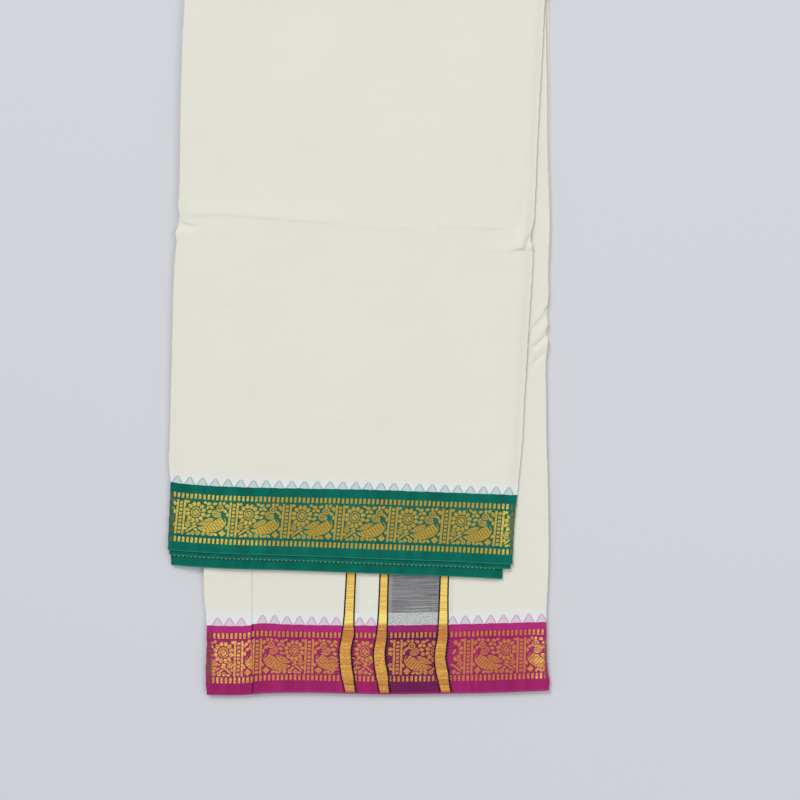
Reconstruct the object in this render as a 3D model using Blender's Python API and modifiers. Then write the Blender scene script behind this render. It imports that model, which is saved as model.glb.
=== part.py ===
"""A cotton dhoti, folded and laid flat: a 4 m x 1.27 m cloth with a green and a magenta border.

The cloth is pleated along its length into a strip of twelve layers, about 0.33 m wide. The strip is
then folded over once across its middle, so that a flap with the green selvedges on top lies, turned
a little, on a pile that ends in the magenta selvedges.

Three nested stretches make the strip. The outer one shows on the flap, round the fold and below. The
inner one shows on the pile, where the cloth's cut end lies. The hidden layers between them share one
solid with stepped edges. Each stretch has a cream ground and a woven border at either end.

X runs across the strip, Y along it with the fold at +Y, and Z up from the flat underside.
"""

import math
from typing import NamedTuple

import bmesh
import bpy
from mathutils import Vector

MM = 0.001

# The strip's thickness, from its inner face to its outer face.
WALL = 1.0 * MM
SEAM = 0.3 * MM
LEAF = 0.62 * MM
HIDDEN_LEAVES = 4
HIDDEN_FROM = WALL + SEAM
HIDDEN_TO = HIDDEN_FROM + HIDDEN_LEAVES * LEAF
STRIP = HIDDEN_TO + SEAM + WALL

# Rims of the hidden layers: each leaf is rounded by RIM_ROUND, and a groove parts it from the next.
RIM_ROUND = 0.25 * MM
GROOVE_DEPTH = 0.7 * MM
GROOVE_WIDTH = 0.16 * MM

# Places along Y. The flap's selvedges are turned, and this is where they cross x = 0.
PILE_END = -346.5 * MM
FLAP_END = -220.9 * MM
APEX = 346.8 * MM
BORDER = 62.5 * MM

# The fold across the strip stands a little open, and the layers close again along the flap.
LAY_GAP = 0.3 * MM
FOLD_PUFF = 2.0 * MM
PUFF_LENGTH = 70 * MM
FOLD_RADIUS = (LAY_GAP + FOLD_PUFF) / 2
FOLD_Y = APEX - FOLD_RADIUS - STRIP
BEND_STEPS = 8
BEND = math.pi * (FOLD_RADIUS + STRIP / 2)
PILE = FOLD_Y - PILE_END
FLAP = FOLD_Y - FLAP_END
WHOLE = PILE + BEND + FLAP

# The middle of the folded cloth's outline in the tables below, which becomes the origin.
MIDDLE = Vector((-0.63, 0.15, 0)) * MM

# How far the flap's cross lines drop for each metre to the right, reached at its quarter crease.
TURN = 0.0417

# The soft ridge across the flap, where the cloth was folded in quarters before.
FLAP_CREASE_Y = 85.5 * MM
CREASE_HEIGHT = 0.8 * MM
CREASE_WIDTH = 6.0 * MM

# Left of the cut end the flap sinks by the missing layers, and past the pile's side it droops.
CUT_SINK = 2.6 * MM
CUT_SLOPE = 14 * MM
DROOP = 3.4 * MM
DROOP_SLOPE = 30 * MM

# Columns of faces across the strip, as shares of its width: closest where the flap droops, and with
# one just right of the cut end.
COLUMNS = (0, 0.03, 0.06, 0.095, 0.13, 0.168, 0.27, 0.39, 0.51, 0.63, 0.75, 0.87, 1)
BORDER_STEPS = 2


class Side(NamedTuple):
    """The strip's sides and the cloth's cut end at one place along it, in millimetres."""

    y: float
    left: float
    cut: float
    right: float


class Leaf(NamedTuple):
    """One layer against the strip's outline, at the flap's end and the pile's, in millimetres.

    The reaches say how far it runs beyond the outline's ends, and the others how far inside its sides.
    """

    flap_reach: float
    flap_left: float
    flap_right: float
    pile_reach: float
    pile_left: float
    pile_right: float


class Rim(NamedTuple):
    """One line round the hidden layers' edge."""

    height: float
    leaf: Leaf
    inset: float


class Tint(NamedTuple):
    """A woven colour and its sheen."""

    name: str
    colour: tuple
    roughness: float


PILE_SIDES = (
    Side(y=-346.5, left=-141.3, cut=-99.4, right=171.5),
    Side(y=-338.5, left=-141.9, cut=-99.4, right=173.4),
    Side(y=-297.0, left=-141.4, cut=-99.5, right=170.8),
    Side(y=-265.0, left=-144.0, cut=-99.6, right=171.9),
    Side(y=-230.0, left=-144.2, cut=-99.8, right=173.3),
    Side(y=-168.0, left=-146.0, cut=-100.7, right=173.4),
    Side(y=-76.0, left=-148.6, cut=-102.1, right=172.5),
    Side(y=-30.0, left=-149.9, cut=-102.8, right=173.6),
    Side(y=-14.5, left=-150.4, cut=-103.0, right=172.0),
    Side(y=-4.0, left=-150.7, cut=-103.2, right=174.0),
    Side(y=5.5, left=-150.9, cut=-103.3, right=171.4),
    Side(y=15.6, left=-151.2, cut=-103.5, right=174.6),
    Side(y=70.8, left=-152.8, cut=-104.3, right=176.0),
    Side(y=199.6, left=-156.5, cut=-106.2, right=175.3),
    Side(y=291.6, left=-159.1, cut=-107.6, right=174.3),
    Side(y=340.6, left=-160.6, cut=-108.4, right=173.4),
)

FLAP_SIDES = (
    Side(y=340.6, left=-160.6, cut=-108.4, right=173.4),
    Side(y=291.6, left=-161.5, cut=-109.8, right=169.7),
    Side(y=199.6, left=-165.1, cut=-112.6, right=164.8),
    Side(y=107.6, left=-166.1, cut=-115.2, right=160.5),
    Side(y=95.0, left=-167.3, cut=-115.6, right=159.6),
    Side(y=87.4, left=-165.4, cut=-115.8, right=158.8),
    Side(y=77.3, left=-169.9, cut=-116.1, right=156.8),
    Side(y=68.0, left=-168.8, cut=-116.4, right=156.8),
    Side(y=57.0, left=-170.2, cut=-116.7, right=158.0),
    Side(y=15.6, left=-171.6, cut=-117.9, right=156.2),
    Side(y=-39.6, left=-173.4, cut=-119.5, right=152.7),
    Side(y=-113.0, left=-175.3, cut=-121.6, right=148.6),
    Side(y=-150.0, left=-174.4, cut=-122.7, right=144.9),
    Side(y=-187.0, left=-176.2, cut=-123.7, right=141.6),
    Side(y=-242.0, left=-177.0, cut=-125.3, right=138.4),
)

OUTER = Leaf(flap_reach=0, flap_left=0, flap_right=0, pile_reach=-1.6, pile_left=1.2, pile_right=1.4)
INNER = Leaf(flap_reach=14.0, flap_left=3.4, flap_right=8.7, pile_reach=0, pile_left=0, pile_right=0)
HIDDEN = (
    Leaf(flap_reach=10.6, flap_left=3.4, flap_right=6.8, pile_reach=0, pile_left=0, pile_right=0.6),
    Leaf(flap_reach=8.2, flap_left=2.6, flap_right=4.0, pile_reach=-0.6, pile_left=0.9, pile_right=0.1),
    Leaf(flap_reach=6.2, flap_left=2.0, flap_right=2.6, pile_reach=0, pile_left=0.3, pile_right=1.1),
    Leaf(flap_reach=4.3, flap_left=1.0, flap_right=1.2, pile_reach=-1.0, pile_left=1.0, pile_right=0.4),
)

# A leaf's lengths beyond the ends of the outer layer, and its lengths inside the strip's sides.
REACHES = ("flap_reach", "pile_reach")
INSETS = ("flap_left", "flap_right", "pile_left", "pile_right")

CREAM = Tint("cream_cotton", (0.77, 0.77, 0.68, 1), 0.85)
GREEN = Tint("green_border", (0.004, 0.162, 0.102, 1), 0.6)
MAGENTA = Tint("magenta_border", (0.402, 0.026, 0.171, 1), 0.6)


def ease(share):
    """A smooth step from 0 to 1 as the share goes from 0 to 1."""
    share = min(max(share, 0.0), 1.0)
    return share * share * (3 - 2 * share)


def side_at(sides, y):
    """The row of a table of sides at y, in metres, read between its rows."""
    rows = sorted(sides)
    y = min(max(y / MM, rows[0].y), rows[-1].y)
    after = next(i for i, row in enumerate(rows) if row.y >= y)
    low, high = rows[max(after - 1, 0)], rows[after]
    share = (y - low.y) / (high.y - low.y) if high.y > low.y else 0.0
    return Side(*(MM * (a + share * (b - a)) for a, b in zip(low, high)))


def crease(y):
    """The height that the pressed crease adds to the flap at y, before the flap is turned."""
    return CREASE_HEIGHT * math.exp(-(((y - FLAP_CREASE_Y) / CREASE_WIDTH) ** 2))


def flap_base(x, y):
    """The height of the flap's lower face."""
    side, pile = side_at(FLAP_SIDES, y), side_at(PILE_SIDES, y)
    puff = FOLD_PUFF * ease(1 - (FOLD_Y - y) / PUFF_LENGTH)
    closed = 1 - ease(1 - (FOLD_Y - y) / PUFF_LENGTH)
    sink = CUT_SINK * ease((side.cut - 2 * MM - x) / CUT_SLOPE)
    droop = DROOP * ease((pile.left - x) / DROOP_SLOPE)
    return STRIP + LAY_GAP + puff - closed * (sink + droop)


def layer_x(sides, y, share, leaf, on_flap, from_cut):
    """The x at a share of the way over a layer, at y on the flap or on the pile."""
    left_inset = MM * (leaf.pile_left + on_flap * (leaf.flap_left - leaf.pile_left))
    right_inset = MM * (leaf.pile_right + on_flap * (leaf.flap_right - leaf.pile_right))
    side = side_at(sides, y)
    start = (side.cut if from_cut else side.left) + left_inset
    return start + share * (side.right - right_inset - start)


def place(along, share, height, leaf, from_cut=False):
    """A point of the strip.

    along is the distance from the magenta selvedge, share the way over the strip, and height the
    distance from the strip's inner face. The leaf says how far its layer stops inside the outline.
    """
    on_flap = min(max(along / WHOLE, 0.0), 1.0)
    if along <= PILE:
        y = PILE_END + along
        x = layer_x(PILE_SIDES, y, share, leaf, on_flap, from_cut)
        z = STRIP - height
    elif along < PILE + BEND:
        angle = math.pi * (along - PILE) / BEND
        x = layer_x(PILE_SIDES, FOLD_Y, share, leaf, on_flap, from_cut)
        y = FOLD_Y + (FOLD_RADIUS + height) * math.sin(angle)
        z = STRIP + FOLD_RADIUS - (FOLD_RADIUS + height) * math.cos(angle)
    else:
        level_y = FOLD_Y - (along - PILE - BEND)
        turn = TURN * min((FOLD_Y - level_y) / (FOLD_Y - FLAP_CREASE_Y), 1.0)
        y = level_y - turn * layer_x(FLAP_SIDES, level_y, share, leaf, on_flap, from_cut)
        x = layer_x(FLAP_SIDES, y, share, leaf, on_flap, from_cut)
        z = flap_base(x, y) + height + crease(level_y) * height / STRIP
    return Vector((x, y, z)) - MIDDLE


def ground_stations():
    """Distances along the strip for the rows of faces between the two borders."""
    pile_rows = [row.y * MM - PILE_END for row in PILE_SIDES[:-1]]
    bend_rows = [PILE + BEND * i / BEND_STEPS for i in range(BEND_STEPS + 1)]
    flap_rows = [WHOLE - (row.y * MM - FLAP_END) for row in FLAP_SIDES[1:]]
    first, last = BORDER + SEAM / 2, WHOLE - BORDER - SEAM / 2
    between = [along for along in pile_rows + bend_rows + flap_rows if first + MM < along < last - MM]
    return [first, *between, last]


def even_stations(start, end):
    """Distances along the strip for the rows of faces of a border."""
    return [start + (end - start) * i / BORDER_STEPS for i in range(BORDER_STEPS + 1)]


def woven(tint):
    """A cloth material in the tint's colour."""
    material = bpy.data.materials.new(tint.name)
    material.use_nodes = True
    shader = material.node_tree.nodes["Principled BSDF"]
    shader.inputs["Base Color"].default_value = tint.colour
    shader.inputs["Roughness"].default_value = tint.roughness
    shader.inputs["Metallic"].default_value = 0.0
    material.diffuse_color = tint.colour
    return material


def add_piece(name, mesh_data, tint):
    """Writes the bmesh into a new object of the dhoti's collection, smooth except at its edges."""
    mesh = bpy.data.meshes.new(name)
    mesh_data.to_mesh(mesh)
    mesh_data.free()
    mesh.shade_smooth()
    mesh.set_sharp_from_angle(angle=math.radians(50))
    mesh.materials.append(woven(tint))
    piece = bpy.data.objects.new(name, mesh)
    bpy.data.collections["dhoti_cloth"].objects.link(piece)
    return piece


def add_sheet(name, stations, leaf, tint):
    """One stretch of cloth as a wall: an open grid laid on the strip's inner or outer face, made solid."""
    inner = leaf is INNER
    data = bmesh.new()
    columns, rows = len(COLUMNS) - 1, len(stations) - 1
    bmesh.ops.create_grid(data, x_segments=columns, y_segments=rows, size=0.5)
    for vertex in data.verts:
        share = COLUMNS[round((vertex.co.x + 0.5) * columns)]
        along = stations[round((vertex.co.y + 0.5) * rows)]
        vertex.co = place(along, share, 0.0 if inner else STRIP, leaf, from_cut=inner)
    if not inner:
        bmesh.ops.reverse_faces(data, faces=data.faces)
    piece = add_piece(name, data, tint)
    wall = piece.modifiers.new("Wall", "SOLIDIFY")
    wall.thickness = WALL
    wall.offset = -1
    return piece


def smaller_of(first, second):
    """The outline that lies inside both layers."""
    reaches = {name: min(getattr(first, name), getattr(second, name)) for name in REACHES}
    insets = {name: max(getattr(first, name), getattr(second, name)) for name in INSETS}
    return Leaf(**reaches, **insets)


def hidden_rims():
    """The lines round the hidden layers' edge, from the inner face out: three a leaf, and the grooves."""
    rims = []
    for i, leaf in enumerate(HIDDEN):
        low = HIDDEN_FROM + i * LEAF
        bottom, top = (low, low + LEAF)
        if i > 0:
            rims.append(Rim(low, smaller_of(leaf, HIDDEN[i - 1]), GROOVE_DEPTH))
            bottom = low + GROOVE_WIDTH / 2
        if i < len(HIDDEN) - 1:
            top = low + LEAF - GROOVE_WIDTH / 2
        rims.append(Rim(bottom, leaf, RIM_ROUND))
        rims.append(Rim(low + LEAF / 2, leaf, 0.0))
        rims.append(Rim(top, leaf, RIM_ROUND))
    return rims


def rim_point(rim, stations, row, column):
    """A point on a rim's outline, or inside it, at a row and a column of the grid."""
    along, start, end = stations[row], stations[0], stations[-1]
    if row == 0:
        along = start + rim.inset - (MM * rim.leaf.pile_reach if start < SEAM else 0.0)
    if row == len(stations) - 1:
        along = end - rim.inset + (MM * rim.leaf.flap_reach if end > WHOLE - SEAM else 0.0)
    inset = rim.inset / MM
    leaf = rim.leaf._replace(
        flap_left=rim.leaf.flap_left + inset,
        flap_right=rim.leaf.flap_right + inset,
        pile_left=rim.leaf.pile_left + inset,
        pile_right=rim.leaf.pile_right + inset,
    )
    return place(along, COLUMNS[column], rim.height, leaf)


def add_hidden_layers(name, stations, tint):
    """The hidden layers as one solid: its inner and outer faces, joined by the rims round its edge."""
    data = bmesh.new()
    rims = hidden_rims()
    last_row, last_column = len(stations) - 1, len(COLUMNS) - 1
    outline = [(0, c) for c in range(last_column)]
    outline += [(r, last_column) for r in range(last_row)]
    outline += [(last_row, c) for c in range(last_column, 0, -1)]
    outline += [(r, 0) for r in range(last_row, 0, -1)]
    cells = [(r, c) for r in range(last_row + 1) for c in range(last_column + 1)]
    faces = [
        {(r, c): data.verts.new(rim_point(rim, stations, r, c)) for r, c in cells}
        for rim in (rims[0], rims[-1])
    ]
    for r in range(last_row):
        for c in range(last_column):
            corners = ((r, c), (r, c + 1), (r + 1, c + 1), (r + 1, c))
            data.faces.new([faces[0][at] for at in corners])
            data.faces.new([faces[1][at] for at in reversed(corners)])
    loops = [[faces[0][at] for at in outline]]
    loops += [[data.verts.new(rim_point(rim, stations, r, c)) for r, c in outline] for rim in rims[1:-1]]
    loops += [[faces[1][at] for at in outline]]
    for low, high in zip(loops, loops[1:]):
        for i in range(len(outline)):
            data.faces.new((low[i - 1], low[i], high[i], high[i - 1]))
    bmesh.ops.recalc_face_normals(data, faces=data.faces)
    return add_piece(name, data, tint)


def main():
    """Builds the nine pieces of the folded cloth."""
    for old in list(bpy.data.objects):
        bpy.data.objects.remove(old, do_unlink=True)
    collection = bpy.data.collections.new("dhoti_cloth")
    bpy.context.scene.collection.children.link(collection)

    green_from, magenta_to = WHOLE - BORDER + SEAM / 2, BORDER - SEAM / 2
    for layer, leaf in (("outer_layer", OUTER), ("inner_layer", INNER)):
        green_rows = even_stations(green_from, WHOLE + MM * leaf.flap_reach)
        magenta_rows = even_stations(-MM * leaf.pile_reach, magenta_to)
        add_sheet(f"{layer}_ground", ground_stations(), leaf, CREAM)
        add_sheet(f"{layer}_green_border", green_rows, leaf, GREEN)
        add_sheet(f"{layer}_magenta_border", magenta_rows, leaf, MAGENTA)
    add_hidden_layers("hidden_layers_ground", ground_stations(), CREAM)
    add_hidden_layers("hidden_layers_green_border", even_stations(green_from, WHOLE), GREEN)
    add_hidden_layers("hidden_layers_magenta_border", even_stations(0.0, magenta_to), MAGENTA)


if __name__ == "__main__":
    main()
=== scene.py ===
"""A folded cotton dhoti, dressed: thin layers of cloth, woven borders and gold thread.

The frame gives the strip's thickness, its fold and its ends. The layers are laid as one cloth pleated
to and fro, the borders' figures are raised in gold thread on them, and the creases are pressed in
along given lines. X runs across the strip, Y along it towards the fold, and Z up from the floor.
"""

from __future__ import annotations

import logging
import math
from dataclasses import dataclass, field
from enum import Enum
from typing import Iterable, NamedTuple, Sequence

import bpy
import numpy as np
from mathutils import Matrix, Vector


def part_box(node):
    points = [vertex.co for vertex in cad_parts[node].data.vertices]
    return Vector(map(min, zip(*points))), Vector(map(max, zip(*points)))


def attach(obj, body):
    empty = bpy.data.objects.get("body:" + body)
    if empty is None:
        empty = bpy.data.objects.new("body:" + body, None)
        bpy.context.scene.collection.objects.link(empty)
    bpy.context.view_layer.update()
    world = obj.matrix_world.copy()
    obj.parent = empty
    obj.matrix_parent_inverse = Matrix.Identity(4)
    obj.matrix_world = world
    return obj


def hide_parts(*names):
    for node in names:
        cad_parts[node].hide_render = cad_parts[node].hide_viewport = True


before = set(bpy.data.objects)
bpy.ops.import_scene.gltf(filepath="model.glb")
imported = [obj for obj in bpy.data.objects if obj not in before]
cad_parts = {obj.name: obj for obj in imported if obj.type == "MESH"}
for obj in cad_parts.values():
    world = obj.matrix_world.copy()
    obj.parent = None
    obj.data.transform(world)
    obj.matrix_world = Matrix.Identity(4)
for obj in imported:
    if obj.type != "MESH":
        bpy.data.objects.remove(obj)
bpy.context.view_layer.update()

LOG = logging.getLogger("dhoti")
Array = np.ndarray
Colour = tuple[float, ...]
Line = Sequence[tuple[float, float]]
Material = bpy.types.Material
Object = bpy.types.Object
Socket = bpy.types.NodeSocket

MM = 0.001
CLOTH_MAP = "cloth"

# The outline's tables are measured from the strip's reference line, and this is the outline's middle.
MIDDLE = np.array((-0.63, 0.15)) * MM

# A layer's mean width, how far the cut end lies back from its side, and the cut layer's widest span.
LAYER_WIDTH = 334 * MM
CUT_SPAN = 280 * MM

# The steps between points: of hidden cloth, of cloth that shows and along the pile, and the least step.
COARSE_STEP = 14 * MM
FINE_STEP = 3 * MM
PILE_STEP = 5 * MM
CLOSEST_ROWS = 0.4 * MM

# How many rows of points a border has where it shows and where it is hidden, and how many the fold has.
BORDER_ROWS, HIDDEN_BORDER_ROWS, BEND_ROWS = 22, 5, 15

# The rows one millimetre apart at the pile's wrinkles, by their y, and at the flap's crease, from it.
WRINKLE_ROWS = (-60, 14)
CREASE_ROWS = (-16, 30)

# The lengths over which a layer's own reach at the green and the magenta selvedge dies away.
GREEN_FADE = 150 * MM
MAGENTA_FADE = 100 * MM

# Where the close points beside a visible layer's sides lie, as shares of its width.
SIDE_SHARES = (0.0012, *(0.0035 * i for i in range(1, 12)))

# The second layer keeps every third column, and all of them from where its right side is wrinkled.
KEPT_COLUMN, WRINKLED_SHARE = 3, 0.88

# Where the darker band of the cloth's end lies, across from its cut end.
END_BAND = (121.6 * MM, 176.0 * MM)

# The wave texture's scale for one band in a metre.
BAND_SCALE = math.pi / 10

# The sockets of a mix node that mixes colours.
MIX_SHARE, MIX_FIRST, MIX_SECOND, MIX_RESULT = 0, 6, 7, 2


class Stretch(Enum):
    """The stretches of a layer between its two selvedges."""

    MAGENTA = "magenta_border"
    GROUND = "ground"
    GREEN = "green_border"


class SideRow(NamedTuple):
    """Where one side of the strip runs at a place along it, in millimetres."""

    y: float
    x: float


class LineRow(NamedTuple):
    """How far a cross line strays from its straight course, in millimetres."""

    x: float
    stray: float


class LayerRow(NamedTuple):
    """One layer's ends beyond the outline's, and its sides inside the outline's, in millimetres."""

    flap_reach: float
    pile_reach: float
    flap_left: float
    flap_right: float
    pile_left: float
    pile_right: float


class Fall(NamedTuple):
    """How far the cloth rises or falls, and the length over which it does."""

    depth: float
    width: float


class StripeRow(NamedTuple):
    """A weft stripe's middle and width at a place along the pile, in millimetres."""

    y: float
    middle: float
    width: float


class SideTables(NamedTuple):
    """Where a side runs on the pile and on the flap, and about where that is, in metres."""

    pile: tuple[SideRow, ...]
    flap: tuple[SideRow, ...]
    about: float


class WaveRow(NamedTuple):
    """A sine wave: its height, its radians in a metre and where it starts."""

    height: float
    rate: float
    start: float


class RippleRow(NamedTuple):
    """A wave over a face: its half turns in a metre along x and y, and where it starts."""

    along_x: float
    along_y: float
    start: float


# The strip's sides, and the cloth's cut end, on the flap and on the pile.
FLAP_LEFT = (
    SideRow(-242.0, -177.0), SideRow(-212.5, -176.7), SideRow(-196.0, -176.2), SideRow(-168.4, -174.9),
    SideRow(-150.0, -174.5), SideRow(-131.6, -176.1), SideRow(-113.2, -175.3), SideRow(-76.4, -174.3),
    SideRow(-39.6, -173.4), SideRow(-2.8, -172.5), SideRow(34.0, -171.6), SideRow(57.0, -170.2),
    SideRow(70.8, -168.9), SideRow(76.8, -169.9), SideRow(80.0, -168.6), SideRow(85.6, -167.0),
    SideRow(87.9, -164.9), SideRow(93.8, -166.1), SideRow(101.2, -167.3), SideRow(112.2, -166.5),
    SideRow(126.0, -166.1), SideRow(199.6, -165.1), SideRow(254.8, -163.3), SideRow(291.6, -161.5),
    SideRow(340.6, -160.6),
)
FLAP_RIGHT = (
    SideRow(-242.0, 138.8), SideRow(-227.2, 139.4), SideRow(-209.8, 140.1), SideRow(-186.8, 141.5),
    SideRow(-163.8, 144.0), SideRow(-150.0, 145.2), SideRow(-113.2, 148.6), SideRow(-76.4, 150.4),
    SideRow(-39.6, 152.7), SideRow(-21.2, 153.8), SideRow(15.6, 156.2), SideRow(34.0, 157.3),
    SideRow(57.0, 158.3), SideRow(64.0, 158.0), SideRow(70.8, 156.6), SideRow(76.4, 156.6),
    SideRow(81.9, 158.2), SideRow(107.6, 160.5), SideRow(153.6, 162.4), SideRow(199.6, 164.8),
    SideRow(245.6, 167.4), SideRow(291.6, 169.7), SideRow(340.6, 173.4),
)
PILE_LEFT = (
    SideRow(-346.5, -141.2), SideRow(-334.0, -142.0), SideRow(-297.2, -141.2), SideRow(-271.4, -142.2),
    SideRow(-265.0, -143.1), SideRow(-246.6, -144.0), SideRow(-229.1, -144.2), SideRow(-76.0, -148.6),
    SideRow(70.8, -152.8), SideRow(199.6, -156.5), SideRow(340.6, -160.6),
)
PILE_RIGHT = (
    SideRow(-346.5, 173.2), SideRow(-338.6, 173.6), SideRow(-326.6, 171.9), SideRow(-306.4, 171.1),
    SideRow(-278.8, 171.2), SideRow(-265.0, 171.8), SideRow(-229.1, 173.4), SideRow(-150.0, 173.4),
    SideRow(-113.2, 172.5), SideRow(-76.4, 172.5), SideRow(-32.2, 173.3), SideRow(-25.8, 174.3),
    SideRow(-19.3, 174.2), SideRow(-14.3, 172.4), SideRow(-8.3, 174.3), SideRow(-0.9, 173.7),
    SideRow(5.1, 171.3), SideRow(10.1, 173.6), SideRow(17.0, 175.1), SideRow(34.0, 174.9),
    SideRow(57.0, 175.7), SideRow(70.8, 176.4), SideRow(89.2, 176.8), SideRow(112.2, 176.2),
    SideRow(153.6, 175.3), SideRow(199.6, 175.3), SideRow(245.6, 174.7), SideRow(291.6, 174.3),
    SideRow(340.6, 173.4),
)
PILE_CUT = (
    SideRow(-346.5, -99.4), SideRow(-318.0, -99.2), SideRow(-286.0, -99.8), SideRow(-240.0, -99.5),
    SideRow(-76.0, -102.1), SideRow(340.6, -108.4),
)
FLAP_CUT = (
    SideRow(-242.0, -122.0), SideRow(340.6, -108.4),
)
SIDES = (
    SideTables(PILE_LEFT, FLAP_LEFT, -170 * MM),
    SideTables(PILE_CUT, FLAP_CUT, -115 * MM),
    SideTables(PILE_RIGHT, FLAP_RIGHT, 155 * MM),
)

# The selvedges, and the lines where the borders meet the ground, on the flap and on the pile.
FLAP_SELVEDGE = (
    LineRow(-176.6, -0.4), LineRow(-124.7, -1.2), LineRow(-69.5, -0.5), LineRow(40.9, 0.0),
    LineRow(82.3, 0.3), LineRow(139.0, -0.3),
)
FLAP_KORVAI = (
    LineRow(-173.4, -0.6), LineRow(-156.9, -1.6), LineRow(-101.7, -2.1), LineRow(-55.7, -1.2),
    LineRow(-0.5, 0.2), LineRow(82.3, 0.8), LineRow(144.0, 1.1),
)
PILE_SELVEDGE = (
    LineRow(-141.0, 0.3), LineRow(-104.0, 0.5), LineRow(-98.0, 1.0), LineRow(36.0, 0.9), LineRow(80.0, 1.5),
    LineRow(120.0, 2.2), LineRow(173.0, 4.3),
)
PILE_KORVAI = (
    LineRow(-141.0, 1.8), LineRow(-104.0, 1.6), LineRow(-98.0, 2.3), LineRow(-60.0, 1.6),
    LineRow(-19.0, 0.9), LineRow(70.0, 1.5), LineRow(128.0, 3.0), LineRow(173.0, 4.2),
)

# The unevenness of those lines, of the sides and of the faces.
KORVAI_WAVES = (WaveRow(1.0, 538, 0), WaveRow(0.7, 211, 1), WaveRow(0.5, 1270, 0))
SIDE_WAVES = (WaveRow(1.0, 733, 0), WaveRow(1.0, 431, 1), WaveRow(0.6, 1310, 2))
RIPPLES = (
    RippleRow(31, 13, 0.3), RippleRow(-17, 41, 1.7), RippleRow(52, -29, 4.1), RippleRow(9, -63, 2.6),
    RippleRow(77, 22, 5.2),
)

# The layers from the strip's inner face out. Neighbours that a pleat joins share that side.
LAYERS = (
    LayerRow(14.0, 0.0, 0.0, 8.7, 0.0, 0.0),
    LayerRow(13.9, 0.9, 3.6, 8.7, 0.0, 0.0),
    LayerRow(14.0, 0.2, 3.6, 9.2, 0.0, 0.5),
    LayerRow(13.8, -0.4, 4.1, 9.2, 0.8, 0.5),
    LayerRow(13.9, 0.0, 4.1, 8.9, 0.8, 0.9),
    LayerRow(13.7, -0.8, 3.9, 8.9, 0.4, 0.9),
    LayerRow(13.9, -0.3, 3.9, 13.6, 0.4, 0.3),
    LayerRow(13.8, -1.0, 3.2, 13.6, 1.0, 0.3),
    LayerRow(4.2, -0.5, 3.2, 3.4, 1.0, 1.2),
    LayerRow(3.9, -1.2, 1.7, 3.4, 0.5, 1.2),
    LayerRow(4.3, -0.9, 1.7, 1.5, 0.5, 0.8),
    LayerRow(0.0, -1.6, 0.0, 0.0, 1.2, 1.4),
)


def ease(share: Array) -> Array:
    """A smooth step from 0 to 1 as the share goes from 0 to 1."""
    share = np.clip(share, 0.0, 1.0)
    return share * share * (3 - 2 * share)


def waves(at: Array, rows: Sequence[WaveRow]) -> Array:
    """The sum of sine waves at places given in metres."""
    return sum(row.height * np.sin(at * row.rate + row.start) for row in rows)


def read_smooth(at: Array, rows: Line) -> Array:
    """Reads a table of two columns along a smooth curve through its rows.

    Args:
        at: Where to read it, in metres.
        rows: The table, rising in its first column, in millimetres.

    Returns:
        The second column at each place, in metres.
    """
    places, values = np.array(rows).T * MM
    slopes = np.gradient(values, places)
    at = np.clip(at, places[0], places[-1])
    i = np.clip(np.searchsorted(places, at, side="right") - 1, 0, len(places) - 2)
    span = places[i + 1] - places[i]
    t = (at - places[i]) / span
    before = (1 + 2 * t) * (1 - t) ** 2 * values[i] + t * (1 - t) ** 2 * span * slopes[i]
    after = t**2 * (3 - 2 * t) * values[i + 1] + t**2 * (t - 1) * span * slopes[i + 1]
    return before + after


@dataclass(frozen=True)
class Crease:
    """A soft ridge or trough pressed into the cloth along a line.

    Attributes:
        line: The points that it passes, in millimetres.
        height: The ridge's height in millimetres, negative for a trough.
        width: How far its sides spread, in millimetres.
        fade: The length over which each end dies away, in millimetres.
        lee: How many times further it spreads to the left of its line than to the right.
        start: The share of the fade that an end starts with.
    """

    line: Line
    height: float
    width: float
    fade: float = 8.0
    lee: float = 1.0
    start: float = 0.15

    def lift(self, x: Array, y: Array) -> Array:
        """How far the crease raises the cloth at each point, in metres.

        Args:
            x: The points' x.
            y: Their y.

        Returns:
            A height for each point, in metres.
        """
        points = np.array(self.line) * MM
        lengths = np.linalg.norm(np.diff(points, axis=0), axis=1)
        starts = np.concatenate([[0.0], np.cumsum(lengths)])
        nearest = np.full(np.shape(x), np.inf)
        reached = np.zeros(np.shape(x))
        spread = np.ones(np.shape(x))
        for start, end, length, before in zip(points, points[1:], lengths, starts):
            way = (end - start) / length
            t = np.clip((x - start[0]) * way[0] + (y - start[1]) * way[1], 0, length)
            gap = np.hypot(x - start[0] - t * way[0], y - start[1] - t * way[1])
            left = way[0] * (y - start[1]) > way[1] * (x - start[0])
            spread = np.where(gap < nearest, np.where(left, self.lee, 1.0), spread)
            reached = np.where(gap < nearest, before + t, reached)
            nearest = np.minimum(nearest, gap)
        ends = ease(np.minimum(reached, starts[-1] - reached) / (self.fade * MM) + self.start)
        return self.height * MM * np.exp(-((nearest / (self.width * spread * MM)) ** 2)) * ends


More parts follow.
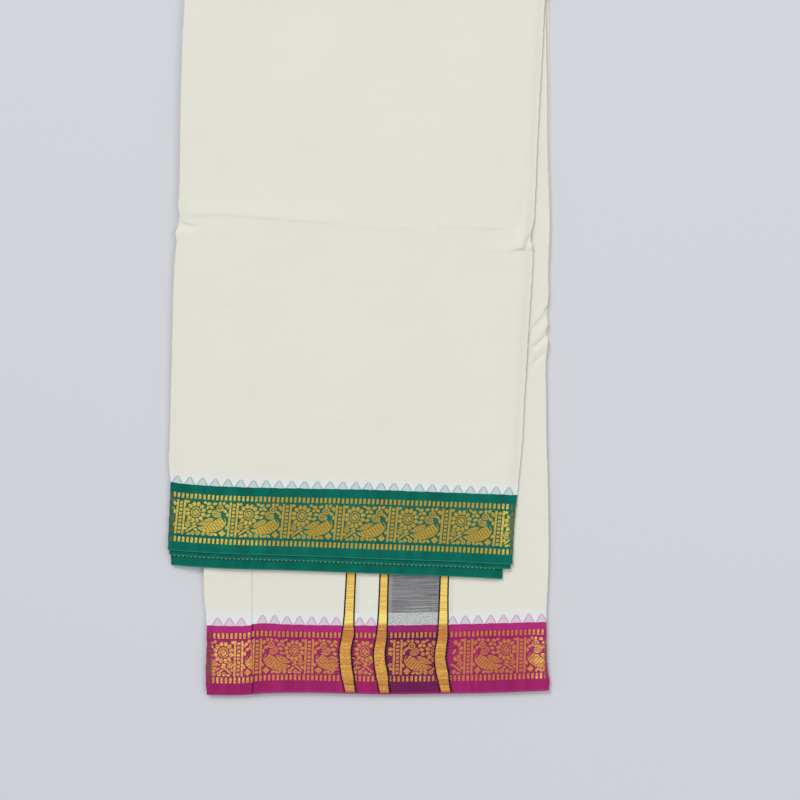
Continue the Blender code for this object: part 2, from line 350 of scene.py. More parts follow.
# The quarter crease across the flap, its curled ends and the hollows by it.
FLAP_CREASES = (
    Crease(
        ((-166, 91.6), (-150.6, 94.0), (-126, 94.4), (-90, 91.3), (-46, 88.1), (-20, 86.4)), 0.85, 2.1, 16, 6
    ),
    Crease(((-34, 87.0), (-18, 86.0), (22, 82.6), (60, 82.8)), 0.5, 2.8, 18, 5),
    Crease(((66, 83.0), (82, 82.9), (102, 82.6)), 0.6, 2.0, 12, 5),
    Crease(((102, 82.0), (121, 81.6), (139, 81.0)), 0.62, 1.9, 10, 5),
    Crease(((-150, 90), (-92, 86), (0, 81), (100, 77)), 0.18, 4.0, 30),
    Crease(((-151, 81.6), (-159, 84.0), (-168, 86.2)), -1.5, 1.3, 4, 4),
    Crease(((-168, 80), (-150, 78), (-110, 80)), 0.25, 4.0, 14),
    Crease(((148.2, 60.5), (147.8, 64), (148.8, 69), (151.6, 74), (157, 79)), 2.4, 3.2, 3, 2.4),
    Crease(((156.8, 70), (156.4, 60)), 2.2, 2.3, 4),
    Crease(((144, 80), (147, 73)), 0.35, 3.0, 4),
    Crease(((105, 61.4), (130, 60.6), (144, 60.4), (150, 58.6)), 0.34, 1.6, 12, 4),
    Crease(((148.5, 110), (147.4, 102), (148.6, 94), (150, 88)), -0.7, 2.0, 8),
    Crease(((153.5, 150), (152, 130), (152.5, 108)), -0.22, 2.4, 20),
)
# The wrinkles of the same crease at the pile's right side, and two faint hollows.
PILE_CREASES = (
    Crease(((171.6, 5.0), (165, -3), (157, -13.6), (146, -26)), -1.25, 1.1, 4, 2.4),
    Crease(((172.5, -14.4), (166, -21.4), (157, -30.6), (145, -42)), -1.35, 1.1, 4, 2.4),
    Crease(((171.5, -32), (164, -37), (155, -46.5), (144, -57)), -0.8, 1.1, 4, 2.2),
    Crease(((172, 12), (166, 5), (158, -5)), 0.35, 3.4, 6),
    Crease(((172.5, -6), (166, -12), (156, -24)), 0.7, 3.0, 5),
    Crease(((172.5, -24), (166, -28), (156, -36)), 0.6, 2.6, 5),
    Crease(((170.5, -38), (171, -60)), -0.3, 1.0, 8),
    Crease(((-96, -236), (-97, -262), (-97, -285)), -0.12, 1.2, 10),
)


@dataclass(frozen=True)
class StripForm:
    """The folded strip: where any point of its layers lies.

    A point is given by its x, its distance along the strip from the magenta selvedge, and its height
    from the strip's inner face. The inner face is on top on the pile and below on the flap.

    Attributes:
        thickness: The strip's thickness.
        pile_end: The y of the pile's selvedge.
        apex: The y of the fold's outer side.
        cloth: The cloth's thickness.
        border: A border's width.
        flap_end: The y of the flap's selvedge, halfway across.
        turn: The slope of the flap's cross lines once they have turned.
        crease_y: The y of the quarter crease, from which the slope stays the same.
        lay_gap: The gap between the pile and the flap.
        puff: How much further they part at the fold.
        sink: The flap's fall beyond the cut end.
        sink_start: How far beyond the cut end it starts.
        droop: The flap's fall beyond the pile's left side.
        edge: The fall of the pile's upper face at its sides.
        curl: The fall of the flap's left side.
        sag: The fall of its right side.
        wobble: How far the line between border and ground strays from thread to thread.
        bumps: How uneven the sides are.
        ripple_height: The height of each slight wave of the faces.
        calm: The length from the fold over which creases and waves die away.
        pucker: How far the cloth puckers round the fold.
        end: How far the layers part at the flap's end.
        partings: Where they part, as shares of the thickness.
        parting: The share of the thickness over which they do.
        stray_end: The length beyond a border over which its stray dies away.
    """

    thickness: float
    pile_end: float
    apex: float
    cloth: float = 0.31 * MM
    border: float = 62.5 * MM
    flap_end: float = -220.9 * MM
    turn: float = 0.0417
    crease_y: float = 85.5 * MM
    lay_gap: float = 0.3 * MM
    puff: Fall = Fall(2.0 * MM, 70 * MM)
    sink: Fall = Fall(0.85 * MM, 9 * MM)
    sink_start: float = 2 * MM
    droop: Fall = Fall(4.1 * MM, 32 * MM)
    edge: Fall = Fall(0.07 * MM, 1.4 * MM)
    curl: Fall = Fall(1.15 * MM, 5.5 * MM)
    sag: Fall = Fall(2.8 * MM, 7.0 * MM)
    wobble: float = 0.14 * MM
    bumps: float = 0.13 * MM
    ripple_height: float = 0.035 * MM
    calm: float = 30 * MM
    pucker: float = 0.25 * MM
    end: Fall = Fall(1.4 * MM, 13 * MM)
    partings: tuple[float, float] = (0.66, 0.915)
    parting: float = 0.02
    stray_end: float = 120 * MM

    @property
    def pitch(self) -> float:
        """The distance from one layer to the next."""
        return (self.thickness - self.cloth) / (len(LAYERS) - 1)

    @property
    def pleat_radius(self) -> float:
        """The radius of a pleat's outer face."""
        return (self.pitch + self.cloth) / 2

    @property
    def fold_radius(self) -> float:
        """The radius of the fold's inner face."""
        return (self.lay_gap + self.puff.depth) / 2

    @property
    def fold_y(self) -> float:
        """Where the fold's curve starts."""
        return self.apex - self.fold_radius - self.thickness

    @property
    def pile(self) -> float:
        """The pile's length."""
        return self.fold_y - self.pile_end

    @property
    def bend(self) -> float:
        """The fold's length, halfway through the strip."""
        return math.pi * (self.fold_radius + self.thickness / 2)

    @property
    def flap(self) -> float:
        """The flap's length."""
        return self.fold_y - self.flap_end

    @property
    def whole(self) -> float:
        """The strip's length from selvedge to selvedge."""
        return self.pile + self.bend + self.flap

    def stray(self, x: Array, inside: Array, selvedge: Line, korvai: Line) -> Array:
        """How far cross lines stray at these distances from a selvedge.

        Args:
            x: The points' x.
            inside: Their distances from the selvedge.
            selvedge: The selvedge's table.
            korvai: The table of the line where border and ground meet.

        Returns:
            How far each point moves along y.
        """
        outer = read_smooth(x, selvedge)
        inner = read_smooth(x, korvai) + self.wobble * waves(x, KORVAI_WAVES)
        stray = outer + (inner - outer) * np.clip(inside / self.border, 0, 1)
        return stray * (1 - ease((inside - self.border) / self.stray_end))

    def slope(self, y: Array) -> Array:
        """The slope of the flap's cross lines, which grows from the fold to the crease."""
        return self.turn * np.clip((self.fold_y - y) / (self.fold_y - self.crease_y), 0, 1)

    def pile_y(self, x: Array, along: Array) -> Array:
        """The y of points on the pile, with the stray of its cross lines."""
        return self.pile_end + along + self.stray(x, along, PILE_SELVEDGE, PILE_KORVAI)

    def flap_y(self, x: Array, along: Array) -> Array:
        """The y of points on the flap, turned and with the stray of its cross lines."""
        level = self.fold_y - (along - self.pile - self.bend)
        return level - self.slope(level) * x + self.stray(x, self.whole - along, FLAP_SELVEDGE, FLAP_KORVAI)

    def sides(self, along: Array, from_cut: Array) -> tuple[Array, Array]:
        """The x of the strip's left and right sides, or of its cut end and right side.

        Args:
            along: Distances from the magenta selvedge along the strip.
            from_cut: Whether each left side is the cut end.

        Returns:
            The x of both sides at each distance.
        """
        on_pile = along <= self.pile + self.bend / 2
        y_pile = np.minimum(self.pile_end + along, self.fold_y)
        y_flap = np.minimum(self.fold_y - (along - self.pile - self.bend), self.fold_y)
        slope = self.slope(y_flap)
        flap_sides = (read_smooth(y_flap - slope * side.about, side.flap) for side in SIDES)
        left, cut, right = (
            np.where(on_pile, read_smooth(y_pile, side.pile), flap) for side, flap in zip(SIDES, flap_sides)
        )
        bumps = self.bumps * waves(along, SIDE_WAVES)
        return np.where(from_cut, cut, left + bumps), right - bumps

    def ripple(self, x: Array, y: Array) -> Array:
        """The slight unevenness of cloth that lies flat."""
        turns = (math.pi * (row.along_x * x + row.along_y * y) + row.start for row in RIPPLES)
        return self.ripple_height * sum(np.sin(turn) for turn in turns)

    def rounding(self, x: Array, sides: tuple[Array, Array], on_flap: bool) -> Array:
        """How far the strip's upper face falls away at its sides, further on the flap.

        Args:
            x: The points' x.
            sides: The x of the sides beside each.
            on_flap: Whether the points are on the flap.

        Returns:
            A fall for each point, below 0.
        """
        falls = (self.curl, self.sag) if on_flap else (self.edge, self.edge)
        gaps = (np.maximum(x - sides[0], 0), np.maximum(sides[1] - x, 0))
        return -sum(fall.depth * np.exp(-((gap / fall.width) ** 2)) for gap, fall in zip(gaps, falls))

    def lift(self, x: Array, y: Array, sides: tuple[Array, Array], on_flap: bool) -> Array:
        """How far the creases, the slight waves and the falling sides move the strip's upper face.

        Args:
            x: The points' x.
            y: Their y.
            sides: The x of the sides beside each.
            on_flap: Whether the points are on the flap.

        Returns:
            A height for each point.
        """
        creases = FLAP_CREASES if on_flap else PILE_CREASES
        lift = sum(crease.lift(x, y) for crease in creases) + self.ripple(x, y)
        return (lift + self.rounding(x, sides, on_flap)) * ease((self.fold_y - y) / self.calm)

    def parted(self, along: Array, risen: Array) -> Array:
        """How far the layers part at the flap's end."""
        loose = ease((along - self.whole + self.end.width) / self.end.width)
        return self.end.depth * loose * sum(0.5 * ease((risen - at) / self.parting) for at in self.partings)

    def flap_base(self, x: Array, y: Array) -> Array:
        """The height of the flap's lower face.

        Args:
            x: The points' x.
            y: Their y.

        Returns:
            A height above the floor for each point.
        """
        closed = ease((self.fold_y - y) / self.puff.width)
        sink = self.sink.depth * ease((read_smooth(y, FLAP_CUT) - self.sink_start - x) / self.sink.width)
        droop = self.droop.depth * ease((read_smooth(y, PILE_LEFT) - x) / self.droop.width)
        return self.thickness + self.lay_gap + self.puff.depth * (1 - closed) - closed * (sink + droop)

    def round_fold(self, x: Array, along: Array, height: Array) -> tuple[Array, Array]:
        """The y and z of points on the fold, which puckers a little.

        Args:
            x: The points' x.
            along: Their distances along the strip.
            height: Their distances from the strip's inner face.

        Returns:
            The y and the z of each point.
        """
        angle = math.pi * (along - self.pile) / self.bend
        pucker = self.pucker * (np.sin(x * 210) * np.sin(x * 83 + 1) + 0.4 * np.sin(x * 460))
        radius = self.fold_radius + height + pucker * np.sin(angle) * height / self.thickness
        centre = self.thickness + self.fold_radius
        return self.fold_y + radius * np.sin(angle), centre - radius * np.cos(angle)

    def point(self, x: Array, along: Array, height: Array) -> Array:
        """The places of points of the strip.

        Args:
            x: Their x, in the tables' frame.
            along: Their distances from the magenta selvedge along the strip.
            height: Their distances from the strip's inner face.

        Returns:
            An array of the same shape with x, y and z as its last axis, in the object's frame.
        """
        x, along, height = np.broadcast_arrays(x, along, height)
        sides = self.sides(along, np.zeros(x.shape, bool))
        risen = height / self.thickness
        y_pile, y_flap = self.pile_y(x, along), self.flap_y(x, along)
        z_pile = self.thickness - height + (1 - risen) * self.lift(x, y_pile, sides, on_flap=False)
        flap_lift = self.lift(x, y_flap, sides, on_flap=True) + self.parted(along, risen)
        z_flap = self.flap_base(x, y_flap) + height + risen * flap_lift
        y_bend, z_bend = self.round_fold(x, along, height)
        on = [along <= self.pile, along < self.pile + self.bend]
        y = np.select(on, [y_pile, y_bend], y_flap)
        z = np.select(on, [z_pile, z_bend], z_flap)
        return np.stack([x - MIDDLE[0], y - MIDDLE[1], z], axis=-1)


def strip_from_frame() -> StripForm:
    """The strip's form, at the thickness and ends that the frame's solids have.

    Returns:
        The form.
    """
    low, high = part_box("inner_layer_magenta_border")
    return StripForm(
        thickness=high[2],
        pile_end=low[1] + MIDDLE[1],
        apex=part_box("outer_layer_ground")[1][1] + MIDDLE[1],
    )


def linear(*channels: int) -> Colour:
    """A colour for a shader from its eight-bit display values."""
    shares = [c / 255 for c in channels]
    return (*(s / 12.92 if s <= 0.04045 else ((s + 0.055) / 1.055) ** 2.4 for s in shares), 1.0)


class Shading:
    """A material's nodes, with short calls for what cloth needs."""

    def __init__(self, name: str, roughness: float, metallic: float = 0.0, specular: float = 0.15) -> None:
        """Starts a material with one shader.

        Args:
            name: The material's name.
            roughness: Its roughness.
            metallic: How much of it is metal.
            specular: Its specular level.
        """
        self.material = bpy.data.materials.new(name)
        self.material.use_nodes = True
        self.nodes = self.material.node_tree.nodes
        self.links = self.material.node_tree.links
        self.shader = self.nodes["Principled BSDF"]
        self.shader.inputs["Roughness"].default_value = roughness
        self.shader.inputs["Metallic"].default_value = metallic
        self.shader.inputs["Specular IOR Level"].default_value = specular

    def feed(self, socket: Socket, value: object) -> None:
        """Links a socket into another, or sets its value.

        Args:
            socket: The socket.
            value: Another node's socket, or a value.
        """
        if isinstance(value, Socket):
            self.links.new(value, socket)
        else:
            socket.default_value = value

    def place(self, scale: tuple[float, float] = (1, 1), turn: float | None = None) -> Socket:
        """The cloth's own coordinates in metres, across and along.

        Args:
            scale: What multiplies them, or with a turn what divides them.
            turn: An angle in degrees by which they are turned.

        Returns:
            The coordinates.
        """
        source = self.nodes.new("ShaderNodeUVMap")
        source.uv_map = CLOTH_MAP
        mapping = self.nodes.new("ShaderNodeMapping")
        mapping.inputs["Scale"].default_value = (*scale, 1)
        if turn is not None:
            mapping.vector_type = "TEXTURE"
            mapping.inputs["Rotation"].default_value = (0, 0, math.radians(turn))
        self.links.new(source.outputs["UV"], mapping.inputs["Vector"])
        return mapping.outputs["Vector"]

    def axis(self, index: int) -> Socket:
        """The distance across the cloth (0) or along it (1), in metres.

        Args:
            index: Which of the two.

        Returns:
            The distance's socket.
        """
        split = self.nodes.new("ShaderNodeSeparateXYZ")
        self.links.new(self.place(), split.inputs[0])
        return split.outputs[index]

    def noise(
        self, scale: tuple[float, float], detail: float = 2.0, rough: float = 0.5, turn: float | None = None
    ) -> Socket:
        """Noise over the cloth.

        Args:
            scale: Its lumps in a metre across and along, or with a turn their length and width in metres.
            detail: How many finer noises are added.
            rough: How strong they are.
            turn: The angle in degrees at which the lumps slant, as a twill's specks do.

        Returns:
            The noise, from 0 to 1.
        """
        node = self.nodes.new("ShaderNodeTexNoise")
        node.inputs["Scale"].default_value = 1.0
        node.inputs["Detail"].default_value = detail
        node.inputs["Roughness"].default_value = rough
        self.links.new(self.place(scale, turn), node.inputs["Vector"])
        return node.outputs[0]

    def threads(self, per_metre: float, along: bool, ragged: float = 1.0) -> Socket:
        """Parallel threads, so many in a metre, lying along the cloth or across it.

        Args:
            per_metre: How many threads lie in a metre.
            along: Whether they lie along the cloth.
            ragged: How unevenly they lie.

        Returns:
            Their height, from 0 to 1.
        """
        node = self.nodes.new("ShaderNodeTexWave")
        node.bands_direction = "X" if along else "Y"
        node.inputs["Scale"].default_value = BAND_SCALE * per_metre
        node.inputs["Distortion"].default_value = ragged
        node.inputs["Detail"].default_value = 2.0
        node.inputs["Detail Scale"].default_value = 0.15
        self.links.new(self.place(), node.inputs["Vector"])
        return node.outputs["Fac"]

    def calculate(self, operation: str, first: object, second: object = 0.0) -> Socket:
        """One step of arithmetic on one or two values.

        Args:
            operation: The math node's operation.
            first: The first value.
            second: The second value.

        Returns:
            The result.
        """
        node = self.nodes.new("ShaderNodeMath")
        node.operation = operation
        self.feed(node.inputs[0], first)
        self.feed(node.inputs[1], second)
        return node.outputs[0]

    def times(self, first: object, second: object) -> Socket:
        """The product of two values."""
        return self.calculate("MULTIPLY", first, second)

    def ranged(self, value: object, low: float, high: float, start: float = 0.0, end: float = 1.0) -> Socket:
        """The value moved from the range low to high to the range start to end, and eased inside it.

        Args:
            value: The value.
            low: The value that becomes start.
            high: The value that becomes end.
            start: The result for low, and below it.
            end: The result for high, and above it.

        Returns:
            The result.
        """
        node = self.nodes.new("ShaderNodeMapRange")
        node.interpolation_type = "SMOOTHSTEP"
        for socket, given in zip(node.inputs, (value, low, high, start, end)):
            self.feed(socket, given)
        return node.outputs[0]

    def blend(self, share: object, first: object, second: object) -> Socket:
        """Two colours mixed by a share.

        Args:
            share: The second colour's share.
            first: The first colour.
            second: The second colour.

        Returns:
            The mixed colour.
        """
        node = self.nodes.new("ShaderNodeMix")
        node.data_type = "RGBA"
        self.feed(node.inputs[MIX_SHARE], share)
        self.feed(node.inputs[MIX_FIRST], first)
        self.feed(node.inputs[MIX_SECOND], second)
        return node.outputs[MIX_RESULT]

    def tinted(self, body: object, colour: Colour, where: object, share: float) -> Socket:
        """The body with a share of another colour, where there is any."""
        return self.blend(self.times(where, share), body, colour)

    def within(self, value: object, start: float, end: float, soft: float) -> Socket:
        """1 where the value lies between start and end, with soft sides.

        Args:
            value: The value.
            start: The low end.
            end: The high end.
            soft: How far each side fades.

        Returns:
            A share from 0 to 1.
        """
        rising = self.ranged(value, start - soft, start + soft)
        falling = self.ranged(value, end - soft, end + soft, 1.0, 0.0)
        return self.times(rising, falling)

    def finish(self, colour: object, height: object, depth: float, sheen: float = 0.0) -> Material:
        """Links the colour and the raised threads to the shader.

        Args:
            colour: The surface's colour.
            height: The threads' height, from 0 to 1.
            depth: The height's scale in metres.
            sheen: The weight of the fibres' sheen.

        Returns:
            The material.
        """
        self.feed(self.shader.inputs["Base Color"], colour)
        bump = self.nodes.new("ShaderNodeBump")
        bump.inputs["Distance"].default_value = depth
        bump.inputs["Strength"].default_value = 1.0
        self.feed(bump.inputs["Height"], height)
        self.links.new(bump.outputs["Normal"], self.shader.inputs["Normal"])
        self.shader.inputs["Sheen Weight"].default_value = sheen
        self.shader.inputs["Sheen Roughness"].default_value = 0.5
        return self.material


@dataclass(frozen=True)
class FaintLine:
    """A few coloured picks beside a stripe: where, across from the cut end, and how strong."""

    at: float
    width: float
    share: float
    colour: Colour


@dataclass(frozen=True)
class Cotton:
    """Plain-weave cotton with slubs, whiter beside its borders.

    Attributes:
        name: The material's name.
        korvai: Distances along the strip between which the ground is unbleached.
        colour: The unbleached yarn.
        white: The bleached yarn beside the borders.
        ends: Whether the grey band and the lines of the cloth's end are woven in.
        lines: The faint lines beside the stripes.
        threads_per_metre: How fine the weave is.
        edge: How soft the sides of bands and lines are.
    """

    name: str
    korvai: tuple[float, float]
    colour: Colour = linear(231, 228, 213)
    white: Colour = linear(231, 232, 229)
    ends: bool = False
    lines: tuple[FaintLine, ...] = (
        FaintLine(96.4 * MM, 1.3 * MM, 0.6, linear(214, 188, 184)),
        FaintLine(98.4 * MM, 0.9 * MM, 0.5, linear(196, 194, 190)),
        FaintLine(128.8 * MM, 0.9 * MM, 0.45, linear(178, 150, 140)),
        FaintLine(183.0 * MM, 1.4 * MM, 0.5, linear(206, 194, 184)),
        FaintLine(184.8 * MM, 0.8 * MM, 0.5, linear(200, 196, 194)),
    )
    threads_per_metre: float = 2300.0
    edge: float = 0.35 * MM

    def material(self) -> Material:
        """Builds the material.

        Returns:
            The material.
        """
        made = Shading(self.name, roughness=0.88)
        warp = made.threads(self.threads_per_metre, along=True)
        weft = made.threads(self.threads_per_metre * 0.9, along=False)
        weave = made.calculate("MAXIMUM", warp, weft)
        slubs = made.ranged(made.noise((9, 900), 3), 0.56, 0.72)
        streaks = made.ranged(made.noise((1100, 7), 3), 0.58, 0.74)
        thick = made.calculate("ADD", slubs, streaks)
        along = made.axis(1)
        body = made.blend(made.within(along, *self.korvai, 5 * MM), self.white, self.colour)
        knots = made.ranged(made.noise((80, 1000)), 0.66, 0.74)
        body = made.tinted(body, linear(250, 249, 240), knots, 0.45)
        if self.ends:
            body = self.with_grey_band(made, body, along)
        patches = made.ranged(made.noise((14, 11), 3), 0.3, 0.7, 0.0, 0.055)
        body = made.blend(patches, body, linear(205, 196, 176))
        body = made.tinted(body, linear(186, 182, 160), thick, 0.05)
        body = made.tinted(body, linear(255, 255, 250), weave, 0.07)
        height = made.calculate("ADD", made.times(weave, 0.6), made.times(thick, 0.5))
        return made.finish(body, height, 0.06 * MM, sheen=0.04)

    def grey(self, made: Shading, across: Socket) -> Socket:
        """The grey band's colour, with dark, pale and bright picks and a warmer first side.

        Args:
            made: The material's nodes.
            across: The distance from the cut end.

        Returns:
            The colour.
        """
        picks = made.ranged(made.noise((28, 1000), 3, 0.6), 0.34, 0.66)
        grey = made.blend(picks, linear(82, 82, 85), linear(136, 136, 138))
        ends = made.ranged(made.noise((1000, 60), 3, 0.6), 0.48, 0.7, 0.0, 0.3)
        grey = made.blend(ends, grey, linear(160, 160, 160))
        bright_picks = made.ranged(made.noise((16, 560)), 0.6, 0.66, 0.0, 0.6)
        grey = made.blend(bright_picks, grey, linear(172, 172, 172))
        warmer = made.within(across, END_BAND[0], END_BAND[0] + 6.6 * MM, 0.6 * MM)
        return made.tinted(grey, linear(176, 164, 166), warmer, 0.45)

    def with_grey_band(self, made: Shading, body: Socket, along: Socket) -> Socket:
        """The ground with the grey band, the lines, and painted shade along the cloth's cut end.

        Args:
            made: The material's nodes.
            body: The ground's colour.
            along: The distance along the strip.

        Returns:
            The colour.
        """
        across = made.axis(0)
        dots = made.ranged(made.noise((820, 820), 1), 0.5, 0.62)
        pale = made.blend(dots, linear(196, 198, 196), linear(146, 151, 150))
        past_border = made.ranged(along, self.korvai[0] - 1.5 * MM, self.korvai[0] - 0.5 * MM)
        woven = made.blend(past_border, pale, self.grey(made, across))
        body = made.blend(made.within(across, *END_BAND, self.edge), body, woven)
        # Painted shade: a darker line along the cut end's step.
        cut = made.within(across, -1 * MM, 0.7 * MM, self.edge)
        body = made.tinted(body, linear(184, 180, 164), cut, 0.6)
        for line in self.lines:
            beside = made.within(across, line.at - line.width / 2, line.at + line.width / 2, self.edge)
            body = made.blend(made.times(beside, made.times(past_border, line.share)), body, line.colour)
        return body


@dataclass(frozen=True)
class BorderCloth:
    """The border's dyed ground: fine ribs with a silky sheen, darker picks and soft bands of painted fold
    shade.

    Attributes:
        name: The material's name.
        colour: The yarn where no painted fold shade lies.
        dark_picks_and_fold_shade: The darker picks' yarn, which also paints the shade of soft folds in long
            bands.
        selvedge: The yarn at the selvedge.
        dark: The yarn of the darker band at the cloth's end, if it has one.
        inner_band: Where the plain band beside the ground starts, along from the selvedge.
        inner_share: How much of the darker band is missing there.
        inner_yarn: That plain band's yarn.
        cut_edge_shade: The painted shade along the cut end, where the cloth curls down.
        woven: Where the figures lie, along from the selvedge.
        glint: The gold that shows through the ground among them.
    """

    name: str
    colour: Colour
    dark_picks_and_fold_shade: Colour
    selvedge: Colour
    dark: Colour | None = None
    inner_band: float = 56.5 * MM
    inner_share: float = 0.65
    inner_yarn: Colour = linear(196, 52, 132)
    cut_edge_shade: Colour = linear(80, 12, 50)
    woven: tuple[float, float] = (15.7 * MM, 48.5 * MM)
    glint: Colour = linear(176, 140, 48)

    def material(self, selvedge_at: float) -> Material:
        """Builds the material for a border with its selvedge at this distance along the strip.

        Args:
            selvedge_at: That distance.

        Returns:
            The material.
        """
        made = Shading(self.name, roughness=0.62, specular=0.08)
        warp = made.threads(2600, along=True, ragged=0.8)
        weft = made.threads(1900, along=False, ragged=0.8)
        ribs = made.calculate("MAXIMUM", made.times(warp, 0.7), weft)
        # Painted shade of soft folds: long bands along the strip mix in the darker yarn.
        bands = made.ranged(made.noise((70, 4), 3), 0.36, 0.66)
        picks = made.ranged(made.noise((12, 700), 3), 0.4, 0.7)
        along = made.axis(1)
        body = made.tinted(made.blend(bands, self.dark_picks_and_fold_shade, self.colour), self.dark_picks_and_fold_shade, picks, 0.25)
        if self.dark is not None:
            body = self.with_darker_band(made, body, along)
        from_selvedge = made.calculate("ABSOLUTE", made.calculate("SUBTRACT", along, selvedge_at))
        among = made.within(from_selvedge, *self.woven, 0.5 * MM)
        glints = made.ranged(made.noise((900, 800)), 0.5, 0.66, 0.0, 0.22)
        body = made.blend(made.times(among, glints), body, self.glint)
        if self.dark is not None:
            # Painted shade along the curled cut end.
            cut = made.within(made.axis(0), -1 * MM, 1.3 * MM, 0.3 * MM)
            body = made.tinted(body, self.cut_edge_shade, cut, 0.9)
        edge = made.within(along, selvedge_at - 0.8 * MM, selvedge_at + 0.8 * MM, 0.25 * MM)
        body = made.tinted(body, self.selvedge, edge, 0.4)
        return made.finish(body, ribs, 0.05 * MM)

    def with_darker_band(self, made: Shading, body: Socket, along: Socket) -> Socket:
        """The ground with its plain inner band, and with the darker band of the cloth's end.

        Args:
            made: The material's nodes.
            body: The ground's colour.
            along: The distance along the strip.

        Returns:
            The colour.
        """
        plain = made.ranged(along, self.inner_band - MM, self.inner_band + MM)
        body = made.tinted(body, self.inner_yarn, plain, 0.5)
        shade = made.within(made.axis(0), *END_BAND, 0.5 * MM)
        missing = made.ranged(plain, 0.0, 1.0, 0.8, 0.8 * (1 - self.inner_share))
        return made.blend(made.times(shade, missing), body, self.dark)


class Gold(Enum):
    """How the gold thread shows on its ground."""

    ON_GREEN = "zari_on_green"
    ON_MAGENTA = "zari_on_magenta"
    STRIPE = "zari_stripe"
    STRIPE_IN_BORDER = "zari_stripe_in_border"


class DullRow(NamedTuple):
    """A stretch where gold is duller: its start and end in millimetres, and how much, or less than 0."""

    start: float
    end: float
    share: float


@dataclass(frozen=True)
class Zari:
    """Flat gold-coloured metal thread, floated over the ground in short picks.

    Attributes:
        kind: Where it is woven.
        bright: The thread's colour where it floats.
        dull: Its colour where the ground yarn binds it.
        metal: How much of it is bare metal.
        bound: How much of it the ground yarn covers.
        ribs: Picks in a metre.
        painted_reflection_across: Stretches across the strip that painted reflection dulls, or a painted
            highlight brightens.
        dull_along: Stretches along the strip where it is duller, or brighter.
        lines: Where darker picks lie along the strip.
        line_yarn: Those picks' colour.
        slant: The angle of its specks in degrees, if it is bound in a twill.
        speck: A twill speck's length and width.
        contrast: How much its picks differ.
        painted_shade: Stretches across the strip, at its curled sides, where painted shade darkens the gold.
        ground: The colour of that painted shade.
    """

    kind: Gold
    bright: Colour
    dull: Colour
    metal: float
    bound: float
    ribs: float
    # Painted reflection: duller gold where it faces away from the lights, painted highlights where a share
    # is below 0.
    painted_reflection_across: tuple[DullRow, ...] = ()
    dull_along: tuple[DullRow, ...] = ()
    lines: tuple[float, ...] = ()
    line_yarn: Colour = linear(120, 60, 50)
    slant: float | None = None
    speck: tuple[float, float] = (2.4 * MM, 0.8 * MM)
    contrast: float = 0.45
    # Painted shade at the curled sides, darkening the gold toward the ground's colour.
    painted_shade: tuple[DullRow, ...] = ()
    ground: Colour = linear(12, 60, 48)

    def material(self) -> Material:
        """Builds the material.

        Returns:
            The material.
        """
        made = Shading(self.kind.value, roughness=0.42, metallic=self.metal, specular=0.4)
        picks = made.threads(self.ribs, along=False, ragged=1.6)
        uneven = made.ranged(made.noise((22, 640), 2, 0.6), 0.4, 0.6)
        if self.slant is None:
            ties = made.ranged(made.noise((760, 680), 3, 0.7), 0.47 - self.bound, 0.58)
        else:
            ties = made.ranged(made.noise(self.speck, turn=self.slant), 0.5 - self.bound, 0.56)
        floor = 1 - self.contrast
        share = made.times(ties, made.ranged(picks, 0.1, 0.9, floor, 1.0))
        share = made.times(share, made.ranged(uneven, 0.0, 1.0, floor, 1.0))
        share = made.times(share, made.ranged(made.noise((30, 20), 3), 0.3, 0.7, 0.78, 1.0))
        across, along = made.axis(0), made.axis(1)
        # Across the strip these rows paint the gold's reflection and highlights; along it they only make it
        # duller or brighter.
        for axis, rows in ((across, self.painted_reflection_across), (along, self.dull_along)):
            for row in rows:
                soft = 0.12 * (row.end - row.start) * MM
                inside = made.within(axis, row.start * MM, row.end * MM, soft)
                share = made.times(share, made.ranged(inside, 0.0, 1.0, 1.0, 1 - row.share))
        colour = made.blend(share, self.dull, self.bright)
        for at in self.lines:
            line = made.within(along, at - 0.25 * MM, at + 0.25 * MM, 0.2 * MM)
            colour = made.tinted(colour, self.line_yarn, line, 0.7)
        # Painted shade: where the cloth curls down at its sides, the gold is darkened toward the ground's
        # colour.
        for row in self.painted_shade:
            side = made.within(across, row.start * MM, row.end * MM, 1.4 * MM)
            colour = made.tinted(colour, self.ground, side, row.share)
        return made.finish(colour, made.calculate("ADD", picks, ties), 0.05 * MM)


@dataclass(frozen=True)
class Yarn:
    """Dyed cotton yarn woven as a figure in the ground.

    Attributes:
        name: The material's name.
        colour: The yarn's colour.
        ground: The ground that shows between its picks.
        cover: How much of the ground it covers.
    """

    name: str
    colour: Colour
    ground: Colour
    cover: float

    def material(self) -> Material:
        """Builds the material.

        Returns:
            The material.
        """
        made = Shading(self.name, roughness=0.85)
        picks = made.threads(1400, along=False)
        specks = made.calculate("ADD", made.times(picks, 0.25), made.noise((1600, 1400)))
        share = made.ranged(specks, 0.45, 0.45 + self.cover * 0.5)
        return made.finish(made.blend(share, self.ground, self.colour), picks, 0.03 * MM)


# Each border cloth's second colour is both its darker picks and the painted shade of its soft folds.
GREEN_CLOTH = BorderCloth("green_border_cloth", linear(0, 110, 92), linear(0, 96, 81), linear(70, 150, 128))
MAGENTA_CLOTH = BorderCloth(
    "magenta_border_cloth", linear(172, 38, 110), linear(150, 32, 92), linear(190, 80, 140),
    dark=linear(94, 30, 76),
)
